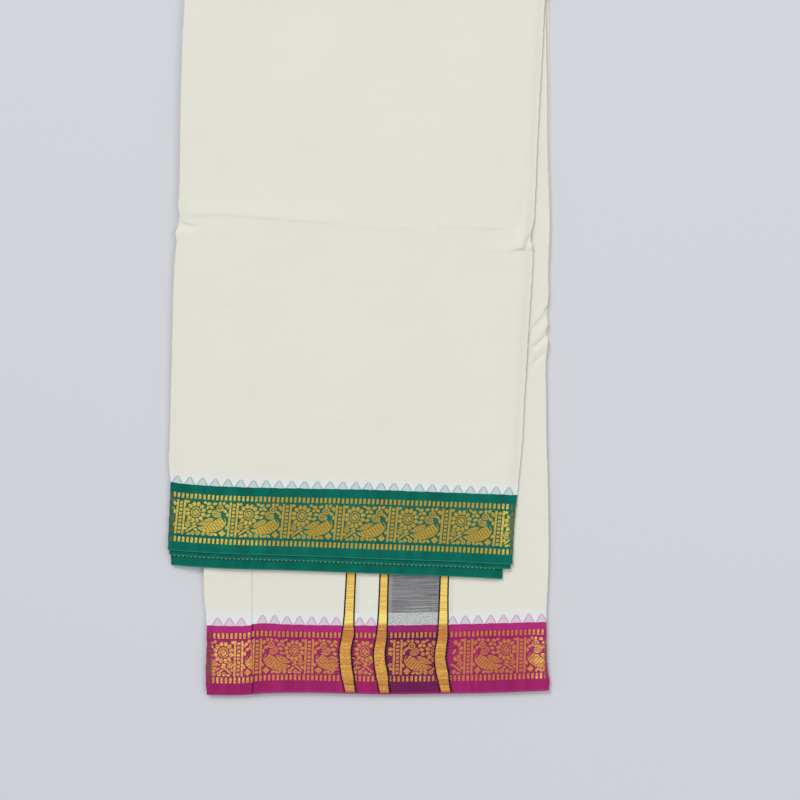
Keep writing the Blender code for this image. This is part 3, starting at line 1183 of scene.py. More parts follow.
# On both borders the gold's rows across the strip paint its reflection, duller in the middle with painted
# highlights near the sides, and painted shade where the cloth curls down at its sides.
GOLD_ON_GREEN = Zari(
    Gold.ON_GREEN, linear(255, 234, 104), linear(176, 140, 30), 0.25, 0.12, 1300,
    painted_reflection_across=(DullRow(-92, 128, 0.8), DullRow(129, 137, -0.8)), contrast=0.55,
    painted_shade=(DullRow(-190, -171.4, 0.85), DullRow(136.5, 160, 0.75)),
)
GOLD_ON_MAGENTA = Zari(
    Gold.ON_MAGENTA, linear(255, 218, 100), linear(190, 104, 46), 0.25, 0.08, 1300,
    painted_reflection_across=(
        DullRow(-134, -100, -0.7), DullRow(-98, 60, 0.4), DullRow(62, 156, 0.75), DullRow(160, 169, -0.9),
    ),
    contrast=0.55, painted_shade=(DullRow(-150, -136.2, 0.8), DullRow(168.6, 185, 0.75)), ground=linear(96, 18, 62),
)
STRIPE_GOLD = Zari(
    Gold.STRIPE, linear(255, 236, 134), linear(224, 168, 54), 0.12, 0.4, 620, contrast=0.6,
    dull_along=(DullRow(64.5, 75.5, -1.2), DullRow(108.5, 125, 0.6)),
)
STRIPE_GOLD_IN_BORDER = Zari(
    Gold.STRIPE_IN_BORDER, linear(255, 216, 92), linear(194, 116, 50), 0.12, 0.12, 1100,
    dull_along=(DullRow(47.5, 58.5, 0.75), DullRow(7.0, 12.5, 0.6), DullRow(-1, 2.6, 0.9)),
    lines=(57.8 * MM, 60.6 * MM, 8.0 * MM), slant=52, contrast=0.6,
)
SPECKS_ON_GREEN = Yarn("zari_specks_on_green", linear(240, 232, 168), linear(150, 160, 96), 0.8)
TEMPLE_GREEN = Yarn("temple_yarn_grey_green", linear(184, 206, 206), linear(206, 218, 218), 0.9)
TEMPLE_TIP_GREEN = Yarn("temple_tip_yarn_green", linear(122, 166, 154), linear(180, 202, 198), 0.6)
TEMPLE_MAUVE = Yarn("temple_yarn_mauve", linear(212, 190, 208), linear(222, 210, 220), 0.9)
TEMPLE_TIP_MAUVE = Yarn("temple_tip_yarn_mauve", linear(190, 136, 172), linear(212, 184, 204), 0.6)
OUTLINE_YARN = Yarn("stripe_outline_yarn_black", linear(20, 14, 24), linear(40, 28, 40), 0.9)


class Column(NamedTuple):
    """One line of points along a pleated cloth.

    Attributes:
        share: Its place between the layer's left side (0) and right side (1).
        from_cut: Whether the cut end is that left side.
        left: How far the layer's left side lies inside the outline's, on the pile and on the flap.
        right: The same for its right side.
        shift: How far it is moved across the strip.
        height: Its height from the strip's inner face.
        reach: How far the layer reaches beyond the flap's end, in millimetres.
        pile_reach: How far it reaches beyond the pile's, in millimetres.
    """

    share: float
    from_cut: bool
    left: tuple[float, float]
    right: tuple[float, float]
    shift: float
    height: float
    reach: float
    pile_reach: float


@dataclass
class PleatedCloth:
    """Neighbouring layers of the strip as one cloth, pleated to and fro.

    Attributes:
        name: The name of the layers' nodes in the frame, before the stretch's name.
        form: The strip.
        first: The first layer, counted from 1 at the strip's inner face.
        last: The last layer.
        step: The distance between points across the strip.
        tucks: Whether each free side turns under a little, as a pleat does.
        arc_steps: The steps in a pleat's half turn.
        tuck_reach: How far a side that turns under reaches back.
        map_shift: How far each layer's number moves its coordinates, so that its slubs are its own.
    """

    name: str
    form: StripForm
    first: int
    last: int
    step: float
    tucks: tuple[bool, bool] = (False, False)
    arc_steps: int = 4
    tuck_reach: float = 0.7 * MM
    map_shift: float = 0.4

    @property
    def shows(self) -> bool:
        """Whether it shows, and so has its points close together."""
        return self.step < COARSE_STEP

    @property
    def has_cut(self) -> bool:
        """Whether it starts with the layer that has the cut end."""
        return self.first == 1

    def outer_face(self, layer: int) -> float:
        """The height of the cloth's one side in a layer: it turns over at every pleat."""
        base = (layer - 1) * self.form.pitch
        return base if layer % 2 else base + self.form.cloth

    def shares(self, layer: int) -> list[float]:
        """The columns' shares of a layer's width, close together at the sides of one that shows.

        Args:
            layer: The layer's number.

        Returns:
            The shares, from left to right.
        """
        count = round((CUT_SPAN if layer == 1 else LAYER_WIDTH) / self.step)
        even = [i / count for i in range(count + 1)]
        if layer == 2:
            even = [s for i, s in enumerate(even) if i % KEPT_COLUMN == 0 or s > WRINKLED_SHARE]
        if not self.shows:
            return even
        return sorted({*even, *SIDE_SHARES, *(1 - share for share in SIDE_SHARES)})

    def layer_columns(self, layer: int) -> list[Column]:
        """The columns across one layer, from the side where the cloth comes in.

        Args:
            layer: The layer's number.

        Returns:
            The columns, in the cloth's order.
        """
        cut, from_right = layer == 1, layer % 2 == 0
        columns = []
        for share in self.shares(layer):
            radius = self.form.pleat_radius
            if from_right and share < 0.5:
                radius -= self.form.cloth
            shift = 0.0 if cut and share < 0.5 else (1 - 2 * share) * radius
            columns.append(self.column(LAYERS[layer - 1], share, shift, self.outer_face(layer), cut))
        return columns[::-1] if from_right else columns

    def column(self, row: LayerRow, share: float, shift: float, height: float, cut: bool = False) -> Column:
        """One column of a layer.

        Args:
            row: The layer's sizes.
            share: Its share of the layer's width.
            shift: How far it is moved across the strip.
            height: Its height from the strip's inner face.
            cut: Whether the layer's left side is the cut end.

        Returns:
            The column.
        """
        left = (0.0, 0.0) if cut else (row.pile_left, row.flap_left)
        right = (row.pile_right, row.flap_right)
        return Column(share, cut, left, right, shift, height, row.flap_reach, row.pile_reach)

    def side_column(self, row: LayerRow, right: bool, inward: float, height: float) -> Column:
        """One column beside a layer's side, so far inward from it."""
        return self.column(row, float(right), -inward if right else inward, height)

    def pleat(self, layer: int) -> list[Column]:
        """The columns round the pleat from a layer to the next.

        Args:
            layer: The first layer's number.

        Returns:
            The columns, in the cloth's order.
        """
        low, high = self.outer_face(layer), self.outer_face(layer + 1)
        radius = (high - low) / 2
        columns = []
        for i in range(1, self.arc_steps):
            share = i / self.arc_steps
            row = LayerRow(*(a + share * (b - a) for a, b in zip(LAYERS[layer - 1], LAYERS[layer])))
            inward = radius * (1 - math.sin(math.pi * share))
            height = low + radius * (1 - math.cos(math.pi * share))
            columns.append(self.side_column(row, layer % 2 == 1, inward, height))
        return columns

    def tuck(self, layer: int, right: bool) -> list[Column]:
        """The columns of a free side that turns under, from the layer's edge to the cloth's end.

        Args:
            layer: The layer's number.
            right: Whether its right side is the free one.

        Returns:
            The columns, from the layer's edge.
        """
        turn = self.form.pleat_radius if layer == 1 else -self.form.pleat_radius
        columns = []
        for i in range(1, self.arc_steps + 2):
            angle = min(math.pi * i / self.arc_steps, math.pi)
            reach = self.tuck_reach if i > self.arc_steps else 0.0
            inward = self.form.pleat_radius * (1 - math.sin(angle)) + reach
            height = self.outer_face(layer) + turn * (1 - math.cos(angle))
            columns.append(self.side_column(LAYERS[layer - 1], right, inward, height))
        return columns

    def columns(self) -> list[Column]:
        """All the columns, from the cloth's one side to its other.

        Returns:
            The columns.
        """
        columns: list[Column] = []
        if self.tucks[0]:
            columns += self.tuck(self.first, right=self.first % 2 == 0)[::-1]
        for layer in range(self.first, self.last + 1):
            columns += self.layer_columns(layer)
            if layer < self.last:
                columns += self.pleat(layer)
        if self.tucks[1]:
            columns += self.tuck(self.last, right=self.last % 2 == 1)
        return columns

    def rows(self, stretch: Stretch) -> Array:
        """Distances along the strip for a stretch's rows of points, before the layers' reaches.

        Args:
            stretch: Which stretch.

        Returns:
            The distances, rising.
        """
        form = self.form
        count = BORDER_ROWS if self.shows else HIDDEN_BORDER_ROWS
        if stretch is Stretch.MAGENTA:
            return np.linspace(0, form.border, count)
        if stretch is Stretch.GREEN:
            return np.linspace(form.whole - form.border, form.whole, count)
        pile_step = PILE_STEP if self.shows and self.has_cut else COARSE_STEP
        flap_step = FINE_STEP if self.shows and not self.has_cut else COARSE_STEP
        flap_start, flap_end = form.pile + form.bend, form.whole - form.border
        parts = [
            np.arange(form.border, form.pile - pile_step / 2, pile_step),
            form.pile + form.bend * np.linspace(0, 1, BEND_ROWS),
            np.arange(flap_start + flap_step, flap_end - flap_step / 2, flap_step),
            [flap_end],
        ]
        if pile_step < COARSE_STEP:
            parts.append(np.arange(*WRINKLE_ROWS) * MM - form.pile_end)
        if flap_step < COARSE_STEP:
            parts.append(flap_start + (form.fold_y - form.crease_y) + np.arange(*CREASE_ROWS) * MM)
        rows = np.sort(np.concatenate(parts))
        return rows[np.concatenate([[True], np.diff(rows) > CLOSEST_ROWS])]

    def grid(self, stretch: Stretch) -> tuple[Array, Array]:
        """The points of a stretch, and their coordinates on the cloth.

        Args:
            stretch: Which stretch.

        Returns:
            Points and coordinates, each indexed by row and then column.
        """
        form = self.form
        columns = self.columns()
        rows = self.rows(stretch)[:, None]
        names = ("share", "shift", "height", "reach", "pile_reach", "from_cut")
        share, shift, height, reach, pile_reach, cut = (
            np.array([getattr(column, name) for column in columns])[None] for name in names
        )
        near_green = np.clip((rows - form.whole + form.border + GREEN_FADE) / GREEN_FADE, 0, 1)
        near_magenta = np.clip((form.border + MAGENTA_FADE - rows) / MAGENTA_FADE, 0, 1)
        along = rows + (near_green * reach - near_magenta * pile_reach) * MM
        insets = []
        for side in ("left", "right"):
            on_pile, on_flap = np.array([getattr(column, side) for column in columns]).T * MM
            insets.append(on_pile + rows / form.whole * (on_flap - on_pile))
        start, end = form.sides(along, np.broadcast_to(cut, along.shape))
        start, end = start + insets[0], end - insets[1]
        points = form.point(start + share * (end - start) + shift, along, height)
        steps = np.linalg.norm(np.diff(points, axis=1), axis=-1)
        across = np.concatenate([np.zeros((len(rows), 1)), np.cumsum(steps, axis=1)], axis=1)
        if not self.has_cut:
            across = across + self.map_shift * self.first
        return points, np.stack([across, np.broadcast_to(rows, along.shape)], axis=-1)

    def build(self, stretch: Stretch, material: Material) -> Object:
        """One stretch of these layers as an object, dressed and declared to the frame.

        Args:
            stretch: Which stretch.
            material: Its finish.

        Returns:
            The object.
        """
        points, places = self.grid(stretch)
        piece = grid_object(f"cloth_{self.name}_{stretch.value}", points, places, material)
        thicken(piece, "Cloth", self.form.cloth)
        join_frame(piece, (f"{self.name}_{stretch.value}",))
        return piece


def grid_object(name: str, points: Array, places: Array, material: Material) -> Object:
    """An open grid of faces as a smooth object with a map of the cloth's coordinates.

    Args:
        name: The object's name.
        points: Its points, by row and column.
        places: Their coordinates on the cloth, by row and column.
        material: Its finish.

    Returns:
        The object.
    """
    rows, columns = points.shape[:2]
    index = np.arange(rows * columns).reshape(rows, columns)
    corners = [index[:-1, :-1], index[:-1, 1:], index[1:, 1:], index[1:, :-1]]
    faces = np.stack(corners, axis=-1).reshape(-1, 4).tolist()
    piece = mesh_object(name, points.reshape(-1, 3), faces, places.reshape(-1, 2), material)
    piece.data.shade_smooth()
    keep_rims_sharp(piece.data)
    return piece


def mesh_object(
    name: str, points: Array, faces: list[list[int]], places: Array, material: Material
) -> Object:
    """A mesh as an object of the scene, with a map of the cloth's coordinates.

    Args:
        name: The object's name.
        points: Its points.
        faces: Each face's points, by their numbers.
        places: The points' coordinates on the cloth.
        material: Its finish.

    Returns:
        The object.
    """
    mesh = bpy.data.meshes.new(name)
    mesh.from_pydata(points.tolist(), [], faces)
    layer = mesh.uv_layers.new(name=CLOTH_MAP)
    loops = np.empty(len(mesh.loops), np.int32)
    mesh.loops.foreach_get("vertex_index", loops)
    layer.uv.foreach_set("vector", places[loops].astype(np.float32).ravel())
    mesh.materials.append(material)
    made = bpy.data.objects.new(name, mesh)
    bpy.context.scene.collection.objects.link(made)
    return made


def thicken(piece: Object, name: str, thickness: float) -> None:
    """Gives an open surface a thickness below it.

    Args:
        piece: The surface.
        name: The modifier's name.
        thickness: The thickness in metres.
    """
    wall = piece.modifiers.new(name, "SOLIDIFY")
    wall.thickness = thickness
    wall.offset = -1.0


def keep_rims_sharp(mesh: bpy.types.Mesh) -> None:
    """Marks the edges of an open mesh sharp, so that its rim doesn't shade its faces.

    Args:
        mesh: The mesh.
    """
    sides = np.empty(len(mesh.loops), np.int32)
    mesh.loops.foreach_get("edge_index", sides)
    mesh.edges.foreach_set("use_edge_sharp", np.bincount(sides, minlength=len(mesh.edges)) == 1)


def join_frame(piece: Object, nodes: tuple[str, ...] = ()) -> None:
    """Says what a piece rides on and the nodes that it stands for.

    Args:
        piece: The piece.
        nodes: The frame's nodes that it stands for.
    """
    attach(piece, "root")
    if nodes:
        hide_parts(*nodes)
    LOG.info("%s: %d faces", piece.name, len(piece.data.polygons))


def leftward(points: Array) -> Array:
    """The directions to the left of a line at its points.

    Args:
        points: The line's points.

    Returns:
        A direction of length 1 for each point.
    """
    way = np.gradient(points, axis=0)
    way /= np.linalg.norm(way, axis=1, keepdims=True)
    return np.stack([-way[:, 1], way[:, 0]], axis=1)


def set_down(a: Array, b: Array, x: float, y: float, turn: float) -> Array:
    """Points drawn at a and b, turned by an angle in degrees and moved to x and y."""
    c, s = math.cos(math.radians(turn)), math.sin(math.radians(turn))
    return np.stack([x + c * a - s * b, y + s * a + c * b], axis=1)


@dataclass
class Chart:
    """Figures drawn flat, in millimetres: x along the border, y up from the selvedge.

    Attributes:
        points: The points of all the figures.
        faces: Each face's points, by their numbers.
        figures: The number of each point's figure.
        figure: The next figure's number.
    """

    points: list[tuple[float, float]] = field(default_factory=list)
    faces: list[list[int]] = field(default_factory=list)
    figures: list[int] = field(default_factory=list)
    figure: int = 0

    def add(self, other: Chart, points: Array) -> None:
        """Adds another chart's figures, at these points.

        Args:
            other: The other chart.
            points: A place here for each of its points.
        """
        base = len(self.points)
        self.points += [tuple(point) for point in points]
        self.faces += [[base + i for i in face] for face in other.faces]
        self.figures += [self.figure + number for number in other.figures]
        self.figure += other.figure

    def polygon(self, corners: Iterable[tuple[float, float]]) -> None:
        """Adds a filled polygon.

        Args:
            corners: Its corners, in order.
        """
        start = len(self.points)
        self.points += [tuple(corner) for corner in corners]
        self.faces.append(list(range(start, len(self.points))))
        self.figures += [self.figure] * (len(self.points) - start)
        self.figure += 1

    def box(self, x: float, y: float, width: float, height: float) -> None:
        """Adds a filled rectangle from its lower left corner."""
        self.polygon(((x, y), (x + width, y), (x + width, y + height), (x, y + height)))

    def ribbon(self, left: Array, right: Array) -> None:
        """Adds a band of faces between two lines of points.

        Args:
            left: The points of the one line.
            right: The points of the other.
        """
        start = len(self.points)
        for a, b in zip(left, right):
            self.points += [tuple(a), tuple(b)]
        self.faces += [[at, at + 1, at + 3, at + 2] for at in range(start, len(self.points) - 2, 2)]
        self.figures += [self.figure] * (2 * len(left))
        self.figure += 1

    def stroke(self, line: Line, width: float, taper: float) -> None:
        """Adds a line that is smooth through its points, thinner by a share of its width at its ends.

        Args:
            line: The points.
            width: The width halfway along.
            taper: By what share of it the ends are thinner.
        """
        points = smooth_line(line, 10)
        side = leftward(points)
        t = np.linspace(0, 1, len(points))[:, None]
        half = width / 2 * (1 - taper * np.abs(2 * t - 1) ** 2)
        self.ribbon(points + side * half, points - side * half)

    def ring(self, x: float, y: float, rx: float, ry: float, width: float, count: int) -> None:
        """Adds an oval ring of so many faces.

        Args:
            x: Its middle's x.
            y: Its middle's y.
            rx: Its outer half width.
            ry: Its outer half height.
            width: The ring's own width.
            count: How many faces it has.
        """
        angles = np.linspace(0, math.tau, count + 1)
        turn = np.stack([np.cos(angles), np.sin(angles)], axis=1)
        centre = np.array((x, y))
        self.ribbon(centre + turn * (rx, ry), centre + turn * (rx - width, ry - width))

    def oval(self, x: float, y: float, rx: float, ry: float) -> None:
        """Adds a filled oval."""
        angles = np.linspace(0, math.tau, 12, endpoint=False)
        self.polygon((x + rx * math.cos(a), y + ry * math.sin(a)) for a in angles)

    def leaf(self, x: float, y: float, length: float, width: float, turn: float, rim: float = 0.0) -> None:
        """Adds a leaf or petal from its middle, filled or, with a rim's width, outlined.

        Args:
            x: Its middle's x.
            y: Its middle's y.
            length: Its length.
            width: Its width.
            turn: Its angle in degrees.
            rim: The outline's width, or 0 for a filled leaf.
        """
        t = np.linspace(0, 1, 9)
        spine = (t - 0.5) * length
        swell = width / 2 * np.sin(np.pi * t) ** 0.55
        if rim:
            inner = np.maximum(swell - rim, 0.12)
            bands = ((swell, inner), (-inner, -swell))
        else:
            bands = ((swell, -swell),)
        for upper, lower in bands:
            self.ribbon(*(set_down(spine, side, x, y, turn) for side in (upper, lower)))

    def halved_oval(self, x: float, y: float, rx: float, ry: float, turn: float, gap: float) -> None:
        """Adds an oval cut in two, turned by an angle in degrees.

        Args:
            x: Its middle's x.
            y: Its middle's y.
            rx: Its half width.
            ry: Its half height.
            turn: Its angle in degrees.
            gap: The gap between the halves.
        """
        cuts = (-1, 0, 1)
        for low, high in zip(cuts, cuts[1:]):
            b = np.linspace(low * ry + gap / 2, high * ry - gap / 2, 5)
            a = rx * np.sqrt(np.maximum(1 - (b / ry) ** 2, 0.0))
            self.ribbon(set_down(-a, b, x, y, turn), set_down(a, b, x, y, turn))

    def hatched(
        self, line: Line, halves: Sequence[float], rim: float, bar: float, gap: float, turn: float
    ) -> None:
        """Adds a swelling shape as a rim filled with slanting bars.

        Args:
            line: Points along its middle.
            halves: Its half width at even steps along the line.
            rim: The rim's width.
            bar: A bar's width.
            gap: The gap between bars.
            turn: The bars' angle in degrees.
        """
        points = smooth_line(line, 30)
        side = leftward(points)
        shares = np.linspace(0, 1, len(points))
        half = np.interp(shares, np.linspace(0, 1, len(halves)), halves)[:, None]
        inner = np.maximum(half - rim, 0.04)
        self.ribbon(points + side * half, points + side * inner)
        self.ribbon(points - side * inner, points - side * half)
        angle = math.radians(turn)
        flat = np.array([[math.cos(angle), math.sin(angle)], [-math.sin(angle), math.cos(angle)]])
        edge = np.vstack([points + side * half, (points - side * half)[::-1]]) @ flat.T
        for start in np.arange(edge[:, 1].min() + gap, edge[:, 1].max() - bar, bar + gap):
            levels = np.linspace(start, start + bar, 4)
            for low, high in zip(levels, levels[1:]):
                lows, highs = crossings(edge, low), crossings(edge, high)
                if len(lows) != len(highs):
                    continue
                for i in range(0, len(lows) - 1, 2):
                    corners = ((lows[i], low), (lows[i + 1], low), (highs[i + 1], high), (highs[i], high))
                    self.polygon(np.array(corners) @ flat)


def crossings(edge: Array, level: float) -> list[float]:
    """Where a closed outline crosses a level, from left to right.

    Args:
        edge: The outline's points.
        level: The level, in their second coordinate.

    Returns:
        The first coordinates of the crossings.
    """
    after = np.roll(edge, -1, axis=0)
    across = (edge[:, 1] - level) * (after[:, 1] - level) < 0
    share = (level - edge[across, 1]) / (after[across, 1] - edge[across, 1])
    return sorted(edge[across, 0] + share * (after[across, 0] - edge[across, 0]))


def smooth_line(line: Line, count: int) -> Array:
    """So many points on a smooth curve through a few, or fewer on a straight line.

    Args:
        line: The few points.
        count: How many to make.

    Returns:
        The points.
    """
    points = np.array(line, float)
    if len(points) == 2:
        return points[0] + np.linspace(0, 1, max(2, count // 3))[:, None] * (points[1] - points[0])
    ends = np.vstack([2 * points[0] - points[1], points, 2 * points[-1] - points[-2]])
    made = []
    for t in np.linspace(0, len(points) - 1, count):
        i = min(int(t), len(points) - 2)
        u = t - i
        a, b, c, d = ends[i : i + 4]
        bow, twist = 2 * a - 5 * b + 4 * c - d, 3 * b - a - 3 * c + d
        made.append(0.5 * (2 * b + (c - a) * u + bow * u**2 + twist * u**3))
    return np.array(made)


class LeafRow(NamedTuple):
    """A leaf in the repeat: its middle, its length and width in millimetres, and its angle in degrees."""

    x: float
    y: float
    length: float
    width: float
    turn: float


LEAVES = (
    LeafRow(8.8, 10.2, 4.6, 2.6, 24), LeafRow(1.6, 5.6, 3.6, 2.6, 20), LeafRow(21.0, 29.8, 4.4, 2.8, 12),
    LeafRow(23.8, 26.8, 4.4, 2.9, -32), LeafRow(20.2, 26.4, 3.4, 2.3, 40), LeafRow(22.4, 22.8, 4.6, 2.9, 12),
    LeafRow(21.2, 18.9, 4.4, 2.8, 24), LeafRow(26.6, 30.2, 4.4, 2.6, 14), LeafRow(1.5, 30.6, 3.6, 2.5, 24),
    LeafRow(17.6, 31.0, 3.4, 2.2, -20), LeafRow(38.7, 27.6, 3.4, 2.2, 66), LeafRow(38.7, 20.4, 4.2, 2.4, 84),
    LeafRow(39.0, 8.6, 4.0, 2.2, 62), LeafRow(10.8, 5.2, 3.8, 2.2, -30), LeafRow(22.6, 1.9, 4.0, 2.4, -50),
    LeafRow(26.0, 1.6, 4.0, 2.4, 40), LeafRow(29.4, 1.7, 4.0, 2.4, -30), LeafRow(4.6, 0.9, 4.0, 2.0, 10),
)


@dataclass(frozen=True)
class BirdAndFlower:
    """The border's repeat: a bird with a crest and a folded wing beside a flower on a stem.

    It is charted here in millimetres in a cell 32 high, with the flower at the left.

    Attributes:
        width: The cell's width.
    """

    width: float = 40.0

    def draw(self, chart: Chart) -> None:
        """Adds the whole repeat to a chart.

        Args:
            chart: The chart.
        """
        self.flower(chart)
        self.bird(chart)
        self.foliage(chart)

    def flower(self, chart: Chart) -> None:
        """A round flower with a heart in two halves, twelve petals and a calyx.

        Args:
            chart: The chart that it is drawn on.
        """
        x, y = 9.6, 21.4
        chart.halved_oval(x, y, 2.75, 2.85, -50, 0.6)
        chart.ring(x, y, 4.5, 4.7, 0.95, 22)
        for i in range(12):
            angle = math.tau * (i + 0.5) / 12
            chart.leaf(x + 7.5 * math.cos(angle), y + 7.8 * math.sin(angle), 4.6, 3.4, math.degrees(angle))
        chart.stroke(((1.4, 13.8), (3.8, 12.6), (6.6, 12.1)), 1.1, 0.4)

    def bird(self, chart: Chart) -> None:
        """A bird looking right, its body a full crescent and its wing a drop.

        Args:
            chart: The chart that it is drawn on.
        """
        chart.ring(31.5, 26.2, 3.2, 3.0, 1.2, 16)
        chart.oval(31.6, 26.2, 1.1, 1.0)
        chart.leaf(36.3, 23.8, 5.0, 2.5, -34)
        for angle, reach in ((98, 5.0), (62, 5.9), (30, 6.3)):
            way = math.radians(angle)
            chart.leaf(32.0 + reach * math.cos(way), 25.8 + reach * math.sin(way), 3.6, 2.6, angle)
        neck = ((32.8, 20.8), (29.6, 20.0), (27.2, 21.6), (27.9, 24.4))
        chart.hatched(neck, (1.4, 2.5, 2.9, 2.3, 0.9), 0.65, 1.05, 0.5, 38)
        body = ((12.6, 7.0), (18.5, 6.4), (24.5, 7.4), (30.0, 10.0), (33.6, 13.6), (34.6, 17.8))
        chart.hatched(body, (0.4, 2.2, 3.6, 4.7, 5.2, 4.7, 1.9), 0.8, 2.0, 0.55, -50)
        wing = ((12.2, 10.4), (16.8, 11.3), (21.4, 13.6), (26.4, 16.2))
        chart.hatched(wing, (0.3, 1.3, 2.3, 2.6, 2.2, 0.8), 0.65, 1.4, 0.5, -48)

    def foliage(self, chart: Chart) -> None:
        """Stems, leaves, curls and feet that fill the cell.

        Args:
            chart: The chart that they are drawn on.
        """
        chart.stroke(((11.6, 8.6), (8.6, 7.6), (5.4, 5.2), (1.8, 2.2)), 1.7, 0.3)
        chart.leaf(3.2, 9.6, 6.2, 4.4, -34, 1.15)
        chart.leaf(3.2, 9.6, 3.0, 1.3, -34)
        for row in LEAVES:
            chart.leaf(*row)
        for x, radius in ((8.4, 1.8), (13.2, 2.1), (18.2, 1.9)):
            chart.ring(x, radius + 0.1, radius, radius, 1.15, 14)
            chart.oval(x, radius + 0.2, radius * 0.28, radius * 0.28)
        chart.polygon(((32.2, 3.2), (35.5, 0.1), (38.8, 3.2), (35.5, 6.3)))


@dataclass(frozen=True)
class BorderBands:
    """Where a border's rows of figures lie, in millimetres from its selvedge.

    Attributes:
        edge_dashes: The start and end of the row of dashes by the selvedge.
        figures: The start of the band of figures, which is 32 high.
        inner_dashes: The start and end of the row of dashes by the ground.
        korvai: The line where the border meets the ground.
        lean: How far the figures lean to the right for each unit up.
    """

    edge_dashes: tuple[float, float]
    figures: float
    inner_dashes: tuple[float, float]
    korvai: float
    lean: float


@dataclass(frozen=True)
class WeftStripe:
    """One gold stripe woven across the cloth near its end, outlined in black.

    Attributes:
        name: The pieces' name.
        rows: Its course over the pile, from its end under the flap to the selvedge.
        form: The strip.
        top_y: Where it ends under the flap.
        korvai_y: Where it enters the border.
        end_y: Where it ends by the selvedge.
        outline: The black outline's width.
        step_depth: How far the figures push the outlines about.
        notch_y: The y below which the right outline is notched.
        lift: How far it stands above the ground.
        rib: The height of its ribs.
        gold_wall: The gold thread's thickness.
        black_wall: The black yarn's thickness.
        rib_step: The distance from one rib to the next.
        outline_step: The distance between the outlines' points.
        overlap: How far the outlines reach over the gold.
    """

    name: str
    rows: tuple[StripeRow, ...]
    form: StripForm
    top_y: float = -195 * MM
    korvai_y: float = -283.2 * MM
    end_y: float = -345.9 * MM
    outline: float = 1.45 * MM
    step_depth: float = 0.45 * MM
    notch_y: float = -293.2 * MM
    lift: float = 0.2 * MM
    rib: float = 0.05 * MM
    gold_wall: float = 0.08 * MM
    black_wall: float = 0.09 * MM
    rib_step: float = 0.45 * MM
    outline_step: float = 0.9 * MM
    overlap: float = 0.1 * MM

    def at(self, y: Array) -> tuple[Array, Array]:
        """Its middle and half width at these y.

        Args:
            y: The places.

        Returns:
            The x of the middle and the half width at each.
        """
        rising = self.rows[::-1]
        middle = read_smooth(y, [(row.y, row.middle) for row in rising])
        return middle, read_smooth(y, [(row.y, row.width) for row in rising]) / 2

    def course(self, low: float, high: float, step: float) -> tuple[Array, Array, Array]:
        """Distances along the strip, middles and half widths between two heights y."""
        y = np.arange(low, high + step / 2, step)
        return y - self.form.pile_end, *self.at(y)

    def lay(self, name: str, x: Array, along: Array, lift: Array | float, material: Material) -> Object:
        """Lays a grid of points on the pile, raised by a lift, as an object.

        Args:
            name: The object's name.
            x: The points' x, by row and column.
            along: The rows' distances along the strip.
            lift: How far the points are raised.
            material: Its finish.

        Returns:
            The object.
        """
        points = self.form.point(x, along[:, None], -lift)
        places = np.stack(np.broadcast_arrays(x, along[:, None]), axis=-1)
        return grid_object(name, points, places, material)

    def band(self, name: str, low: float, high: float, material: Material) -> None:
        """A ribbed length of the gold stripe.

        Args:
            name: The piece's name.
            low: The y where it starts.
            high: The y where it ends.
            material: Its finish.
        """
        along, middle, half = self.course(low, high, self.rib_step)
        across = np.linspace(-1, 1, 7)[None]
        i = np.arange(len(along))
        rib = self.rib * (i % 2 + 0.6 * (np.sin(i * 1.7) + np.sin(i * 0.43)))[:, None]
        lift = self.lift + rib * (1 - across**6)
        piece = self.lay(name, middle[:, None] + across * half[:, None], along, lift, material)
        thicken(piece, "Thread", self.gold_wall)
        join_frame(piece)

    def outlines(self, material: Material) -> None:
        """The black yarn down both sides, stepped where the border's figures push it about.

        Args:
            material: Their finish.
        """
        along, middle, half = self.course(self.end_y, self.top_y, self.outline_step)
        y, i = along + self.form.pile_end, np.arange(len(along))
        stepped = (y < self.korvai_y) * self.step_depth * np.sin(i * 1.9)
        notched = (y < self.notch_y) * np.maximum(np.sin(i * 1.75), 0)
        for side, sign in (("left", -1), ("right", 1)):
            inner = middle + sign * (half - self.overlap + stepped)
            outer = inner + sign * self.outline * (1 + 0.9 * notched * (sign > 0))
            x = np.stack([inner, (inner + outer) / 2, outer], axis=1)
            piece = self.lay(f"{self.name}_outline_{side}", x, along, self.lift, material)
            turn_up(piece)
            thicken(piece, "Thread", self.black_wall)
            join_frame(piece)


